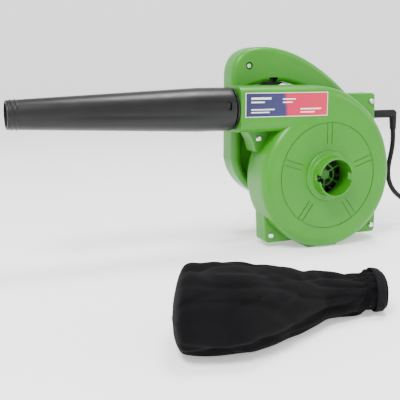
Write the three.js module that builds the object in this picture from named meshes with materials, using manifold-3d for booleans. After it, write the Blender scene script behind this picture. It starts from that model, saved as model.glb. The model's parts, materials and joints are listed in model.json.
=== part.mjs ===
// Handheld corded blower: scroll casing, nozzle, motor, D handle, mains cord and dust bag.
// Millimetres, +Z up. The nozzle points along -X and the fan turns about an axis along Y.
// The origin is on the floor, under the fan axis, on the flat that the casing stands on.
import * as THREE from "three";
import { mergeVertices } from "three/addons/utils/BufferGeometryUtils.js";
import Module from "manifold-3d";

const wasm = await Module();
wasm.setup();

// ---------------------------------------------------------------- driving dimensions
const PART_GAP = 0.3; // between two pieces that touch
const RUN_GAP = 0.6; // between a moving piece and its guide
const WALL = 3; // moulded shells

// Scroll casing: four arcs, each tangent to the next
const TONGUE_R = 83.5; // upper left arc
const STEP_LEFT = 2.5; // growth of the radius at the left
const STEP_BOTTOM = 1.5; // and at the bottom
const STEP_RIGHT = 19.5; // and at the right
const FAN_X = 0;
const TONGUE_X = -1; // centre of the upper left arc
const CASING_FRONT_Y = -24;
const CASING_DEPTH = 53;
const COVER_DEPTH = 34; // front of the casing to the parting line
const FRONT_FILLET = 11;
const BACK_FILLET = 8;
const ARC_SEGMENTS = 40;
const FOOT_FLAT_HALF = 20;

// Outlet duct, at the upper left
const DUCT_END_X = -113;
const DUCT_HEIGHT = 52;
const DUCT_FACE_SLOPE_IN = 5; // how far the front face falls back at the outlet

// Intake ring in the middle of the cover
const RING_BORE_R = 21.2;
const RING_RIM_R = 23.2;
const RING_FOOT_R = 30;
const RING_LENGTH = 18.4;
const FACE_GROOVE_R = 63.3;
const FACE_GROOVE_WIDTH = 1.2;
const FACE_GROOVE_DEPTH = 0.8;
const FACE_RIBS = 5;

// Nozzle and the spigot it pushes over
const NOZZLE_LENGTH = 250;
const NOZZLE_ROOT_R = 24.75;
const NOZZLE_TIP_R = 15.2;
const NOZZLE_WALL_ROOT = 3.4;
const NOZZLE_WALL_TIP = 2.2;
const NOZZLE_STANDOFF = 4.6; // shadow gap between nozzle and duct
const SPIGOT_LENGTH = 40;
const SPIGOT_WALL = 2.2;
const SPIGOT_FLANGE = 2.6;
const LATCH_FROM_ROOT = 9.5; // centre of the latch window
const LATCH_LENGTH = 5.5;
const LATCH_WIDTH = 9;

// Motor and handle
const MOTOR_R = 58;
const MOTOR_CAP_Y = 98;
const MOTOR_CAP_THICKNESS = 4;
const HANDLE_FRONT_Y = 38;
const HANDLE_DEPTH = 33;
const PILLAR_X = -97.5;
const PILLAR_WIDTH = 13.5;
const GRIP_TOP_Z = 239.5;
const GRIP_UNDER_Z = 197;
const SHAFT_R = 4;
const IMPELLER_R = 68;
const IMPELLER_BLADES = 8;
const STATOR_R = 42;
const ARMATURE_R = 21;

// Fasteners
const SCREW_HEAD_R = 3.6;
const SCREW_HEAD_H = 2.6;
const SCREW_SHANK_R = 1.9;

// Cord
const CORD_D = 6.5;

// Derived places
const FAN_Z = TONGUE_R + STEP_LEFT + STEP_BOTTOM + 1;
const TONGUE_Z = TONGUE_R + STEP_LEFT;
const CASING_BACK_Y = CASING_FRONT_Y + CASING_DEPTH;
const PARTING_Y = CASING_FRONT_Y + COVER_DEPTH;
const ARCS = scrollArcs();
const SCROLL_TOP_Z = ARCS.upperRight.z + ARCS.upperRight.r;
const DUCT_BOTTOM_Z = SCROLL_TOP_Z - DUCT_HEIGHT;
const DUCT_FRONT_Y = CASING_FRONT_Y + DUCT_FACE_SLOPE_IN;
const NOZZLE_Y = (DUCT_FRONT_Y + CASING_BACK_Y) / 2;
const NOZZLE_Z = (DUCT_BOTTOM_Z + SCROLL_TOP_Z) / 2;
const NOZZLE_ROOT_X = DUCT_END_X - NOZZLE_STANDOFF;
const NOZZLE_TIP_X = NOZZLE_ROOT_X - NOZZLE_LENGTH;
const SPIGOT_R = NOZZLE_ROOT_R - NOZZLE_WALL_ROOT - PART_GAP;
const HANDLE_BACK_Y = HANDLE_FRONT_Y + HANDLE_DEPTH;
const HANDLE_SPLIT_Y = HANDLE_FRONT_Y + HANDLE_DEPTH / 2;

// Centres and radii of the scroll's four arcs, from the tongue round to the outlet.
function scrollArcs() {
  const upperLeft = { x: TONGUE_X, z: TONGUE_R + STEP_LEFT, r: TONGUE_R };
  const lowerLeft = {
    x: upperLeft.x + STEP_LEFT,
    z: upperLeft.z,
    r: upperLeft.r + STEP_LEFT,
  };
  const lowerRight = {
    x: lowerLeft.x,
    z: lowerLeft.z + STEP_BOTTOM,
    r: lowerLeft.r + STEP_BOTTOM,
  };
  const upperRight = {
    x: lowerRight.x - STEP_RIGHT,
    z: lowerRight.z,
    r: lowerRight.r + STEP_RIGHT,
  };
  return { upperLeft, lowerLeft, lowerRight, upperRight };
}

// ---------------------------------------------------------------- solid helpers
function manifoldOf(positions, triangles) {
  const mesh = new wasm.Mesh({
    numProp: 3,
    vertProperties: positions,
    triVerts: triangles,
  });
  return new wasm.Manifold(mesh);
}

// A closed three.js geometry as a solid, turned the right way out.
function solid(geometry) {
  const bare = geometry.clone();
  bare.deleteAttribute("normal");
  bare.deleteAttribute("uv");
  const merged = mergeVertices(bare, 1e-4);
  const positions = new Float32Array(merged.attributes.position.array);
  const triangles = new Uint32Array(merged.index.array);
  const made = manifoldOf(positions, triangles);
  if (made.volume() >= 0) return made;
  for (let i = 0; i < triangles.length; i += 3) {
    const swapped = triangles[i + 1];
    triangles[i + 1] = triangles[i + 2];
    triangles[i + 2] = swapped;
  }
  return manifoldOf(positions, triangles);
}

function geometryOf(body) {
  const mesh = body.getMesh();
  const stride = mesh.numProp;
  const positions = new Float32Array(mesh.numVert * 3);
  for (let i = 0; i < mesh.numVert; i++)
    positions.set(mesh.vertProperties.subarray(i * stride, i * stride + 3), i * 3);
  const geometry = new THREE.BufferGeometry();
  geometry.setAttribute("position", new THREE.BufferAttribute(positions, 3));
  geometry.setIndex(new THREE.BufferAttribute(mesh.triVerts, 1));
  return geometry;
}

function join(bodies) {
  return bodies.reduce((whole, body) => whole.add(body));
}

function cut(body, tools) {
  return tools.reduce((rest, tool) => rest.subtract(tool), body);
}

function block(x0, x1, y0, y1, z0, z1) {
  const geometry = new THREE.BoxGeometry(x1 - x0, y1 - y0, z1 - z0);
  geometry.translate((x0 + x1) / 2, (y0 + y1) / 2, (z0 + z1) / 2);
  return solid(geometry);
}

// A profile of [radius, y] points turned about the line through (x, z) along Y.
function turnedY(profile, x, z, segments) {
  const points = profile.map(([r, y]) => new THREE.Vector2(r, y));
  const geometry = new THREE.LatheGeometry(points, segments);
  geometry.translate(x, 0, z);
  return solid(geometry);
}

// A profile of [radius, x] points turned about the line through (y, z) along X.
function turnedX(profile, y, z, segments) {
  const points = profile.map(([r, x]) => new THREE.Vector2(r, x));
  const geometry = new THREE.LatheGeometry(points, segments);
  geometry.rotateZ(-Math.PI / 2);
  geometry.translate(0, y, z);
  return solid(geometry);
}

// A profile of [radius, z] points turned about the upright line through (x, y).
function turnedZ(profile, x, y, segments) {
  const points = profile.map(([r, z]) => new THREE.Vector2(r, z));
  const geometry = new THREE.LatheGeometry(points, segments);
  geometry.rotateX(Math.PI / 2);
  geometry.translate(x, y, 0);
  return solid(geometry);
}

function pinY(r, x, z, y0, y1, segments = 24) {
  const profile = [
    [0, y0],
    [r, y0],
    [r, y1],
    [0, y1],
  ];
  return turnedY(profile, x, z, segments);
}

function pinX(r, y, z, x0, x1, segments = 24) {
  const profile = [
    [0, x0],
    [r, x0],
    [r, x1],
    [0, x1],
  ];
  return turnedX(profile, y, z, segments);
}

function tubeY(outer, inner, x, z, y0, y1, segments = 32) {
  const profile = [
    [inner, y0],
    [outer, y0],
    [outer, y1],
    [inner, y1],
    [inner, y0],
  ];
  return turnedY(profile, x, z, segments);
}

// An outline in the X-Z plane as a plate from y0 to y1.
function plateY(shape, y0, y1, curveSegments = 10) {
  const geometry = new THREE.ExtrudeGeometry(shape, {
    depth: y1 - y0,
    bevelEnabled: false,
    curveSegments,
  });
  geometry.rotateX(Math.PI / 2);
  geometry.translate(0, y1, 0);
  return solid(geometry);
}

// Rings of equal point count, skinned one to the next, with flat ends.
function loft(rings) {
  const count = rings[0].length;
  const positions = rings.flat().flatMap((p) => [p.x, p.y, p.z]);
  const triangles = [];
  for (let i = 0; i + 1 < rings.length; i++)
    for (let j = 0; j < count; j++) {
      const a = i * count + j;
      const b = i * count + ((j + 1) % count);
      triangles.push(a, b, a + count, b, b + count, a + count);
    }
  const last = (rings.length - 1) * count;
  for (let j = 1; j + 1 < count; j++) {
    triangles.push(0, j + 1, j);
    triangles.push(last, last + j, last + j + 1);
  }
  const geometry = new THREE.BufferGeometry();
  geometry.setAttribute(
    "position",
    new THREE.BufferAttribute(new Float32Array(positions), 3),
  );
  geometry.setIndex(triangles);
  return solid(geometry);
}

function polygon(points) {
  return new THREE.Shape(points.map(([x, z]) => new THREE.Vector2(x, z)));
}

// ---------------------------------------------------------------- the scene graph
const blower = new THREE.Group();
blower.name = "blower";

const FINISHES = {
  green: { color: 0x6ab455, roughness: 0.42, metalness: 0 },
  black: { color: 0x1c1c1e, roughness: 0.5, metalness: 0 },
  rubber: { color: 0x121212, roughness: 0.75, metalness: 0 },
  zinc: { color: 0xc8ccd0, roughness: 0.35, metalness: 1 },
  steel: { color: 0x9a9ea3, roughness: 0.4, metalness: 1 },
  copper: { color: 0xb5642c, roughness: 0.35, metalness: 1 },
  brass: { color: 0xc9a24b, roughness: 0.35, metalness: 1 },
  carbon: { color: 0x2a2a2c, roughness: 0.8, metalness: 0 },
  label: { color: 0x3b3f66, roughness: 0.35, metalness: 0 },
  white: { color: 0xd8d8d4, roughness: 0.5, metalness: 0 },
  cloth: { color: 0x16161a, roughness: 0.95, metalness: 0 },
};

function place(name, body, finish) {
  const material = new THREE.MeshStandardMaterial({ ...FINISHES[finish] });
  const mesh = new THREE.Mesh(geometryOf(body), material);
  mesh.name = name;
  blower.add(mesh);
}

// ---------------------------------------------------------------- scroll casing
// A disc along Y whose front and back edges are rounded, inset all round by "inset".
function roundedDisc(arc, inset) {
  const r = arc.r - inset;
  const y0 = CASING_FRONT_Y + inset;
  const y1 = CASING_BACK_Y - inset;
  const front = FRONT_FILLET - inset;
  const back = BACK_FILLET - inset;
  const steps = inset > 0 ? 2 : 3;
  const profile = [[0, y0]];
  for (let i = 0; i <= steps; i++) {
    const a = (i / steps) * (Math.PI / 2);
    profile.push([r - front + front * Math.sin(a), y0 + front - front * Math.cos(a)]);
  }
  for (let i = 0; i <= steps; i++) {
    const a = (i / steps) * (Math.PI / 2);
    profile.push([r - back + back * Math.cos(a), y1 - back + back * Math.sin(a)]);
  }
  profile.push([0, y1]);
  return turnedY(profile, arc.x, arc.z, ARC_SEGMENTS);
}

// Four turned discs, each kept on its own side of the arcs' centres.
function scroll(inset) {
  const { upperLeft, lowerLeft, lowerRight, upperRight } = ARCS;
  const far = 400;
  const lowerHalf = block(-far, far, -far, far, -far, lowerLeft.z);
  const rightHalf = block(lowerRight.x, far, -far, far, -far, far);
  const outletQuarter = block(upperRight.x, far, -far, far, upperRight.z, far);
  return join([
    roundedDisc(upperLeft, inset),
    roundedDisc(lowerLeft, inset).intersect(lowerHalf),
    roundedDisc(lowerRight, inset).intersect(rightHalf),
    roundedDisc(upperRight, inset).intersect(outletQuarter),
  ]);
}

// A rounded rectangle in the Y-Z plane at x.
function ductSection(x, y0, y1, z0, z1, frontR, backR) {
  const corners = [
    { y: y0 + frontR, z: z0 + frontR, r: frontR, a: Math.PI },
    { y: y1 - backR, z: z0 + backR, r: backR, a: 1.5 * Math.PI },
    { y: y1 - backR, z: z1 - backR, r: backR, a: 0 },
    { y: y0 + frontR, z: z1 - frontR, r: frontR, a: 0.5 * Math.PI },
  ];
  const steps = 2;
  return corners.flatMap((c) =>
    Array.from({ length: steps + 1 }, (_, i) => {
      const a = c.a + (i / steps) * (Math.PI / 2);
      return new THREE.Vector3(x, c.y + c.r * Math.cos(a), c.z + c.r * Math.sin(a));
    }),
  );
}

// The outlet duct, whose front face falls back towards the outlet.
function duct(inset, endX) {
  const rootX = ARCS.upperRight.x + 0.5;
  const share = (rootX - endX) / (rootX - DUCT_END_X);
  const section = (x, t) =>
    ductSection(
      x,
      CASING_FRONT_Y + DUCT_FACE_SLOPE_IN * t + inset,
      CASING_BACK_Y - inset,
      DUCT_BOTTOM_Z + inset,
      SCROLL_TOP_Z - inset,
      FRONT_FILLET - inset,
      BACK_FILLET - inset,
    );
  return loft([section(endX, share), section(rootX, 0)]);
}

// Lugs that the four casing screws go through: corner plates beside the scroll.
const LUG_FRONT_Y = CASING_FRONT_Y + 26;
const LUG_BACK_Y = CASING_BACK_Y - 3;
const RIGHT_X = ARCS.lowerRight.x + ARCS.lowerRight.r;
const LEFT_X = ARCS.upperLeft.x - ARCS.upperLeft.r;
const LUGS = [
  {
    name: "upper_right",
    screw: [RIGHT_X - 15.2, SCROLL_TOP_Z - 21.1],
    outline: [
      [RIGHT_X - 59, SCROLL_TOP_Z - 11],
      [RIGHT_X - 12, SCROLL_TOP_Z - 11],
      [RIGHT_X - 9.5, SCROLL_TOP_Z - 13.5],
      [RIGHT_X - 9.5, SCROLL_TOP_Z - 64.5],
      [RIGHT_X - 39, SCROLL_TOP_Z - 64.5],
    ],
  },
  {
    name: "lower_right",
    screw: [RIGHT_X - 8.3, 16.5],
    outline: [
      [RIGHT_X - 44, 7.5],
      [RIGHT_X - 5.5, 7.5],
      [RIGHT_X - 2, 11],
      [RIGHT_X - 2, 60],
      [RIGHT_X - 44, 60],
    ],
  },
  {
    name: "lower_left",
    screw: [LEFT_X + 22.2, 15.1],
    outline: [
      [LEFT_X + 54.5, 6],
      [LEFT_X + 18.5, 6],
      [LEFT_X + 15, 9.5],
      [LEFT_X + 13, 50],
      [LEFT_X + 54.5, 50],
    ],
  },
  {
    name: "upper_left",
    screw: [LEFT_X + 3.7, DUCT_BOTTOM_Z - 9.2],
    outline: [
      [DUCT_END_X + 16, DUCT_BOTTOM_Z + 3.5],
      [LEFT_X - 3.5, DUCT_BOTTOM_Z - 11.5],
      [LEFT_X + 0.5, DUCT_BOTTOM_Z - 24.5],
      [LEFT_X + 14.5, DUCT_BOTTOM_Z - 30.5],
      [LEFT_X + 24.5, DUCT_BOTTOM_Z + 3.5],
    ],
  },
];

function casingBody(inset, ductEndX) {
  return scroll(inset).add(duct(inset, ductEndX));
}

function casingOuter() {
  const lugs = LUGS.map((lug) =>
    plateY(polygon(lug.outline), LUG_FRONT_Y, LUG_BACK_Y),
  );
  const foot = block(
    -FOOT_FLAT_HALF,
    FOOT_FLAT_HALF,
    CASING_FRONT_Y + FRONT_FILLET - 1,
    CASING_BACK_Y - BACK_FILLET + 2,
    0,
    9,
  );
  return join([casingBody(0, DUCT_END_X), ...lugs, foot]);
}

// Hollow of the casing with the air's way out, and the hole of the outlet spigot.
function casingHollow() {
  const spigotHole = pinX(
    SPIGOT_R + PART_GAP,
    NOZZLE_Y,
    NOZZLE_Z,
    DUCT_END_X - 5,
    DUCT_END_X + WALL + 2,
    28,
  );
  return casingBody(WALL, DUCT_END_X + WALL).add(spigotHole);
}

function casingHalf(outer, hollow, y0, y1) {
  const slab = block(-400, 400, y0, y1, -400, 400);
  return cut(outer.intersect(slab), [hollow]);
}

function makeCasing() {
  const outer = casingOuter();
  const hollow = casingHollow();
  const coverEnd = PARTING_Y - PART_GAP / 2;
  const backStart = PARTING_Y + PART_GAP / 2;
  place("volute_cover", makeCover(outer, hollow, coverEnd), "green");
  place("volute_back", makeBack(outer, hollow, backStart), "green");
  LUGS.forEach((lug, i) => {
    const [x, z] = lug.screw;
    place(`casing_screw_${i + 1}`, screwY(x, z, LUG_FRONT_Y, 20), "zinc");
  });
}

// A pan-head screw along Y whose head sits on the face at y.
function screwY(x, z, y, length) {
  const top = y - PART_GAP;
  const profile = [
    [0, top - SCREW_HEAD_H],
    [SCREW_HEAD_R * 0.7, top - SCREW_HEAD_H],
    [SCREW_HEAD_R, top - SCREW_HEAD_H * 0.45],
    [SCREW_HEAD_R, top],
    [SCREW_SHANK_R, top],
    [SCREW_SHANK_R, top + length - 2],
    [0, top + length],
  ];
  const body = turnedY(profile, x, z, 12);
  const slotDepth = 1.2;
  const y0 = top - SCREW_HEAD_H - 1;
  const y1 = top - SCREW_HEAD_H + slotDepth;
  const across = block(x - 2.4, x + 2.4, y0, y1, z - 0.5, z + 0.5);
  const upright = block(x - 0.5, x + 0.5, y0, y1, z - 2.4, z + 2.4);
  return cut(body, [across, upright]);
}

function screwHole(x, z, y0, y1) {
  return pinY(SCREW_SHANK_R + PART_GAP, x, z, y0, y1, 12);
}

function makeCover(outer, hollow, endY) {
  const y0 = CASING_FRONT_Y;
  const ring = turnedY(
    [
      [RING_BORE_R, y0 + WALL],
      [RING_FOOT_R, y0 + WALL],
      [RING_FOOT_R, y0 - 1.2],
      [RING_FOOT_R - 1.2, y0 - 2.4],
      [RING_RIM_R + 2, y0 - 3.2],
      [RING_RIM_R + 0.6, y0 - 4.6],
      [RING_RIM_R, y0 - RING_LENGTH + 0.6],
      [RING_RIM_R - 0.6, y0 - RING_LENGTH],
      [RING_BORE_R, y0 - RING_LENGTH],
      [RING_BORE_R, y0 + WALL],
    ],
    FAN_X,
    FAN_Z,
    36,
  );
  const bore = pinY(RING_BORE_R, FAN_X, FAN_Z, y0 - 40, y0 + WALL + 1, 36);
  const shell = casingHalf(outer, hollow, y0 - 1, endY);
  const holes = LUGS.map((lug) => screwHole(...lug.screw, LUG_FRONT_Y - 1, endY + 1));
  const bare = cut(shell.add(ring), [bore, ...holes, ...faceGrooves()]);
  return bare.subtract(bayonetSlots());
}

// Two slots across the ring's rim, where the nozzle locks when the blower sucks.
function bayonetSlots() {
  const y0 = CASING_FRONT_Y - RING_LENGTH;
  const half = 4;
  const depth = 9;
  return block(-RING_RIM_R - 2, RING_RIM_R + 2, y0 - 1, y0 + depth, FAN_Z - half, FAN_Z + half);
}

// A round groove in the cover's face, and five pairs of short grooves that run out to it.
function faceGrooves() {
  const y0 = CASING_FRONT_Y;
  const round = tubeY(
    FACE_GROOVE_R + FACE_GROOVE_WIDTH / 2,
    FACE_GROOVE_R - FACE_GROOVE_WIDTH / 2,
    FAN_X,
    FAN_Z,
    y0 - 1,
    y0 + FACE_GROOVE_DEPTH,
    36,
  );
  const spokes = [];
  for (let i = 0; i < FACE_RIBS; i++) {
    const angle = Math.PI / 2 + (i / FACE_RIBS) * 2 * Math.PI;
    for (const side of [-3.2, 3.2]) {
      const geometry = new THREE.BoxGeometry(
        FACE_GROOVE_R - RING_FOOT_R - 8,
        1 + FACE_GROOVE_DEPTH,
        FACE_GROOVE_WIDTH,
      );
      geometry.translate(
        (FACE_GROOVE_R + RING_FOOT_R) / 2,
        y0 + (FACE_GROOVE_DEPTH - 1) / 2,
        side,
      );
      geometry.rotateY(-angle);
      geometry.translate(FAN_X, 0, FAN_Z);
      spokes.push(solid(geometry));
    }
  }
  return [round, ...spokes];
}

const FRONT_BEARING = { r: 11, width: 7, y: 31 };

function makeBack(outer, hollow, startY) {
  const shell = casingHalf(outer, hollow, startY, CASING_BACK_Y + 1);
  const { r, width, y } = FRONT_BEARING;
  const boss = pinY(r + WALL, FAN_X, FAN_Z, CASING_BACK_Y - 1, y + width, 24);
  const seat = pinY(r + PART_GAP, FAN_X, FAN_Z, y, y + width + 1, 24);
  const shaftWay = pinY(SHAFT_R + RUN_GAP, FAN_X, FAN_Z, 0, y + 1, 16);
  const holes = LUGS.map((lug) => screwHole(...lug.screw, startY - 1, LUG_FRONT_Y + 21));
  return cut(shell.add(boss), [seat, shaftWay, ...holes]);
}

makeCasing();

// ---------------------------------------------------------------- finger guard and label
function makeGuard() {
  const y0 = CASING_FRONT_Y + 9;
  const y1 = y0 + 2.4;
  const hub = pinY(6, FAN_X, FAN_Z, y0 - 1.5, y1, 16);
  const ring = tubeY(13.6, 12, FAN_X, FAN_Z, y0, y1, 18);
  const rim = tubeY(RING_FOOT_R - 1, RING_BORE_R + 1.5, FAN_X, FAN_Z, y0 - 5.7, y1, 24);
  const spokes = [];
  const count = 6;
  for (let i = 0; i < count; i++) {
    const geometry = new THREE.BoxGeometry(RING_BORE_R, 2, 1.6);
    geometry.translate(RING_BORE_R / 2 + 3.5, (y0 + y1) / 2, 0);
    geometry.rotateY(-(i + 0.5) * ((2 * Math.PI) / count));
    geometry.translate(FAN_X, 0, FAN_Z);
    spokes.push(solid(geometry));
  }
  return join([hub, ring, rim, ...spokes]);
}

const LABEL_X = [DUCT_END_X + 5, ARCS.upperRight.x + 13.5];
const LABEL_Z = [NOZZLE_Z - 8.4, NOZZLE_Z + 19.1];
const LABEL_THICKNESS = 0.5;

// The rating label lies on the duct's sloping front face.
function makeLabel() {
  const rootX = ARCS.upperRight.x + 0.5;
  const faceY = (x) =>
    CASING_FRONT_Y +
    (DUCT_FACE_SLOPE_IN * Math.max(0, rootX - x)) / (rootX - DUCT_END_X);
  const shape = new THREE.Shape();
  const xs = [LABEL_X[0], rootX, LABEL_X[1]];
  xs.forEach((x, i) => {
    const y = faceY(x) - PART_GAP;
    if (i === 0) shape.moveTo(x, y);
    else shape.lineTo(x, y);
  });
  [...xs].reverse().forEach((x) => shape.lineTo(x, faceY(x) - PART_GAP - LABEL_THICKNESS));
  const geometry = new THREE.ExtrudeGeometry(shape, {
    depth: LABEL_Z[1] - LABEL_Z[0],
    bevelEnabled: false,
  });
  geometry.translate(0, 0, LABEL_Z[0]);
  return solid(geometry);
}

place("intake_guard", makeGuard(), "green");
place("rating_label", makeLabel(), "label");

// ---------------------------------------------------------------- outlet and nozzle
function makeSpigot() {
  const inner = SPIGOT_R - SPIGOT_WALL;
  const flangeR = SPIGOT_R + SPIGOT_FLANGE;
  const x0 = DUCT_END_X - SPIGOT_LENGTH;
  const x1 = DUCT_END_X - PART_GAP;
  const tube = turnedX(
    [
      [inner, x0],
      [SPIGOT_R - 0.6, x0],
      [SPIGOT_R, x0 + 1],
      [SPIGOT_R, x1 - SPIGOT_FLANGE],
      [flangeR, x1 - SPIGOT_FLANGE],
      [flangeR, x1],
      [SPIGOT_R, x1],
      [SPIGOT_R, DUCT_END_X + WALL],
      [inner, DUCT_END_X + WALL],
      [inner, x0],
    ],
    NOZZLE_Y,
    NOZZLE_Z,
    28,
  );
  const latchX = NOZZLE_ROOT_X - LATCH_FROM_ROOT;
  const latch = block(
    latchX - LATCH_LENGTH / 2 + RUN_GAP,
    latchX + LATCH_LENGTH / 2 - RUN_GAP,
    NOZZLE_Y - SPIGOT_R - 1.2,
    NOZZLE_Y - SPIGOT_R + 1.5,
    LATCH_Z - LATCH_WIDTH / 2 + RUN_GAP,
    LATCH_Z + LATCH_WIDTH / 2 - RUN_GAP,
  );
  return tube.add(latch);
}

const LATCH_Z = NOZZLE_Z + 5;

function nozzleOuterR(x) {
  const t = (NOZZLE_ROOT_X - x) / NOZZLE_LENGTH;
  const run = Math.min(1, Math.max(0, (t - 0.16) / 0.84));
  return NOZZLE_ROOT_R + (NOZZLE_TIP_R - NOZZLE_ROOT_R) * run;
}

function nozzleInnerR(x) {
  const t = (NOZZLE_ROOT_X - x) / NOZZLE_LENGTH;
  const wall = NOZZLE_WALL_ROOT + (NOZZLE_WALL_TIP - NOZZLE_WALL_ROOT) * t;
  return nozzleOuterR(x) - wall;
}

function makeNozzle() {
  const root = NOZZLE_ROOT_X;
  const tip = NOZZLE_TIP_X;
  const shoulder = root - 0.16 * NOZZLE_LENGTH;
  const beads = [tip + 4, tip + 9];
  const outer = [
    [nozzleInnerR(tip), tip],
    [nozzleOuterR(tip) - 0.5, tip],
    [nozzleOuterR(tip), tip + 0.6],
  ];
  for (const x of beads) {
    outer.push([nozzleOuterR(x), x]);
    outer.push([nozzleOuterR(x) + 0.8, x + 0.5]);
    outer.push([nozzleOuterR(x) + 0.8, x + 1.5]);
    outer.push([nozzleOuterR(x + 2), x + 2]);
  }
  outer.push([nozzleOuterR(shoulder), shoulder]);
  outer.push([NOZZLE_ROOT_R, root - 1.2]);
  outer.push([NOZZLE_ROOT_R - 1, root]);
  outer.push([NOZZLE_ROOT_R - NOZZLE_WALL_ROOT, root]);
  outer.push([NOZZLE_ROOT_R - NOZZLE_WALL_ROOT, shoulder]);
  outer.push([nozzleInnerR(tip), tip]);
  const tube = turnedX(outer, NOZZLE_Y, NOZZLE_Z, 28);
  const latchX = root - LATCH_FROM_ROOT;
  const window = block(
    latchX - LATCH_LENGTH / 2,
    latchX + LATCH_LENGTH / 2,
    NOZZLE_Y - NOZZLE_ROOT_R - 2,
    NOZZLE_Y - SPIGOT_R + 2,
    LATCH_Z - LATCH_WIDTH / 2,
    LATCH_Z + LATCH_WIDTH / 2,
  );
  // The latch runs out to the root in a channel on the inside of the wall.
  const channel = block(
    latchX,
    root + 1,
    NOZZLE_Y - SPIGOT_R - 1.8,
    NOZZLE_Y - SPIGOT_R + 4,
    LATCH_Z - LATCH_WIDTH / 2,
    LATCH_Z + LATCH_WIDTH / 2,
  );
  return cut(tube, [window, channel]);
}

place("outlet_spigot", makeSpigot(), "black");
place("nozzle", makeNozzle(), "black");

// ---------------------------------------------------------------- rotor
const IMPELLER_Y = CASING_FRONT_Y + 16;
const IMPELLER_PLATE = 2;
const BLADE_WIDTH = 22;
const REAR_BEARING = { r: 9.5, width: 6, y: MOTOR_CAP_Y - 4 };
const SHAFT_NOSE_Y = IMPELLER_Y - 2;

// Backward-swept blades on a back plate with a hub.
function makeImpeller() {
  const plateY0 = IMPELLER_Y + BLADE_WIDTH;
  const plate = pinY(IMPELLER_R, FAN_X, FAN_Z, plateY0, plateY0 + IMPELLER_PLATE, 28);
  const hub = turnedY(
    [
      [0, IMPELLER_Y + 8],
      [8, IMPELLER_Y + 8],
      [10, plateY0 - 4],
      [15, plateY0 + 1],
      [0, plateY0 + 1],
    ],
    FAN_X,
    FAN_Z,
    18,
  );
  const inner = 22;
  const blades = [];
  for (let i = 0; i < IMPELLER_BLADES; i++) {
    const geometry = new THREE.BoxGeometry(IMPELLER_R - inner, BLADE_WIDTH + 1, 2);
    geometry.translate((IMPELLER_R - inner) / 2, IMPELLER_Y + (BLADE_WIDTH + 1) / 2, 0);
    geometry.rotateY(-0.35);
    geometry.translate(inner - 1, 0, -4);
    geometry.rotateY(i * ((2 * Math.PI) / IMPELLER_BLADES));
    geometry.translate(FAN_X, 0, FAN_Z);
    blades.push(solid(geometry));
  }
  const trim = pinY(IMPELLER_R, FAN_X, FAN_Z, IMPELLER_Y - 1, plateY0 + 9, 28);
  const bore = pinY(SHAFT_R + PART_GAP, FAN_X, FAN_Z, IMPELLER_Y - 5, plateY0 + 5, 16);
  return cut(join([plate, hub, ...blades]).intersect(trim), [bore]);
}

// A winding head: a fat ring round the shaft.
function windingRing(outer, inner, y0, y1) {
  const round = (y1 - y0) * 0.25;
  const profile = [
    [inner, y0],
    [outer - round, y0],
    [outer, y0 + round],
    [outer, y1 - round],
    [outer - round, y1],
    [inner, y1],
    [inner, y0],
  ];
  return turnedY(profile, FAN_X, FAN_Z, 20);
}

const COOLING_FAN_Y = FRONT_BEARING.y + FRONT_BEARING.width + 3;
const ARMATURE_Y = [COOLING_FAN_Y + 15, COOLING_FAN_Y + 32];
const COMMUTATOR_Y = [ARMATURE_Y[1] + 9, ARMATURE_Y[1] + 17];
const COMMUTATOR_R = 11;

function makeCoolingFan() {
  const y0 = COOLING_FAN_Y;
  const disc = tubeY(30, SHAFT_R + PART_GAP, FAN_X, FAN_Z, y0, y0 + 1.6, 18);
  const hub = tubeY(8, SHAFT_R + PART_GAP, FAN_X, FAN_Z, y0, y0 + 6, 14);
  const vanes = [];
  const count = 7;
  for (let i = 0; i < count; i++) {
    const geometry = new THREE.BoxGeometry(18, 6, 1.5);
    geometry.translate(20, y0 + 3, 0);
    geometry.rotateY(i * ((2 * Math.PI) / count));
    geometry.translate(FAN_X, 0, FAN_Z);
    vanes.push(solid(geometry));
  }
  return join([disc, hub, ...vanes]);
}

function makeRotor() {
  const bore = SHAFT_R + PART_GAP;
  const shaftEnd = REAR_BEARING.y + REAR_BEARING.width;
  place("motor_shaft", pinY(SHAFT_R, FAN_X, FAN_Z, SHAFT_NOSE_Y, shaftEnd, 16), "steel");
  place("impeller", makeImpeller(), "white");
  const nutY = IMPELLER_Y + 8 - PART_GAP;
  const hexagon = pinY(7, FAN_X, FAN_Z, nutY - 6, nutY - 1.8, 6);
  const nutBore = pinY(bore, FAN_X, FAN_Z, nutY - 7, nutY, 16);
  place("impeller_nut", hexagon.subtract(nutBore), "zinc");
  place("impeller_washer", tubeY(8, bore, FAN_X, FAN_Z, nutY - 1.5, nutY, 16), "zinc");
  place("cooling_fan", makeCoolingFan(), "black");
  const [core0, core1] = ARMATURE_Y;
  place("armature_core", tubeY(ARMATURE_R, bore, FAN_X, FAN_Z, core0, core1, 20), "steel");
  const frontHead = windingRing(17, bore, core0 - 7, core0 - PART_GAP);
  place("armature_winding_front", frontHead, "copper");
  const backHead = windingRing(17, bore, core1 + PART_GAP, core1 + 7);
  place("armature_winding_back", backHead, "copper");
  const [com0, com1] = COMMUTATOR_Y;
  place("commutator", tubeY(COMMUTATOR_R, bore, FAN_X, FAN_Z, com0, com1, 18), "copper");
  makeBearing("front_bearing", FRONT_BEARING);
  makeBearing("rear_bearing", REAR_BEARING);
}

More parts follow.
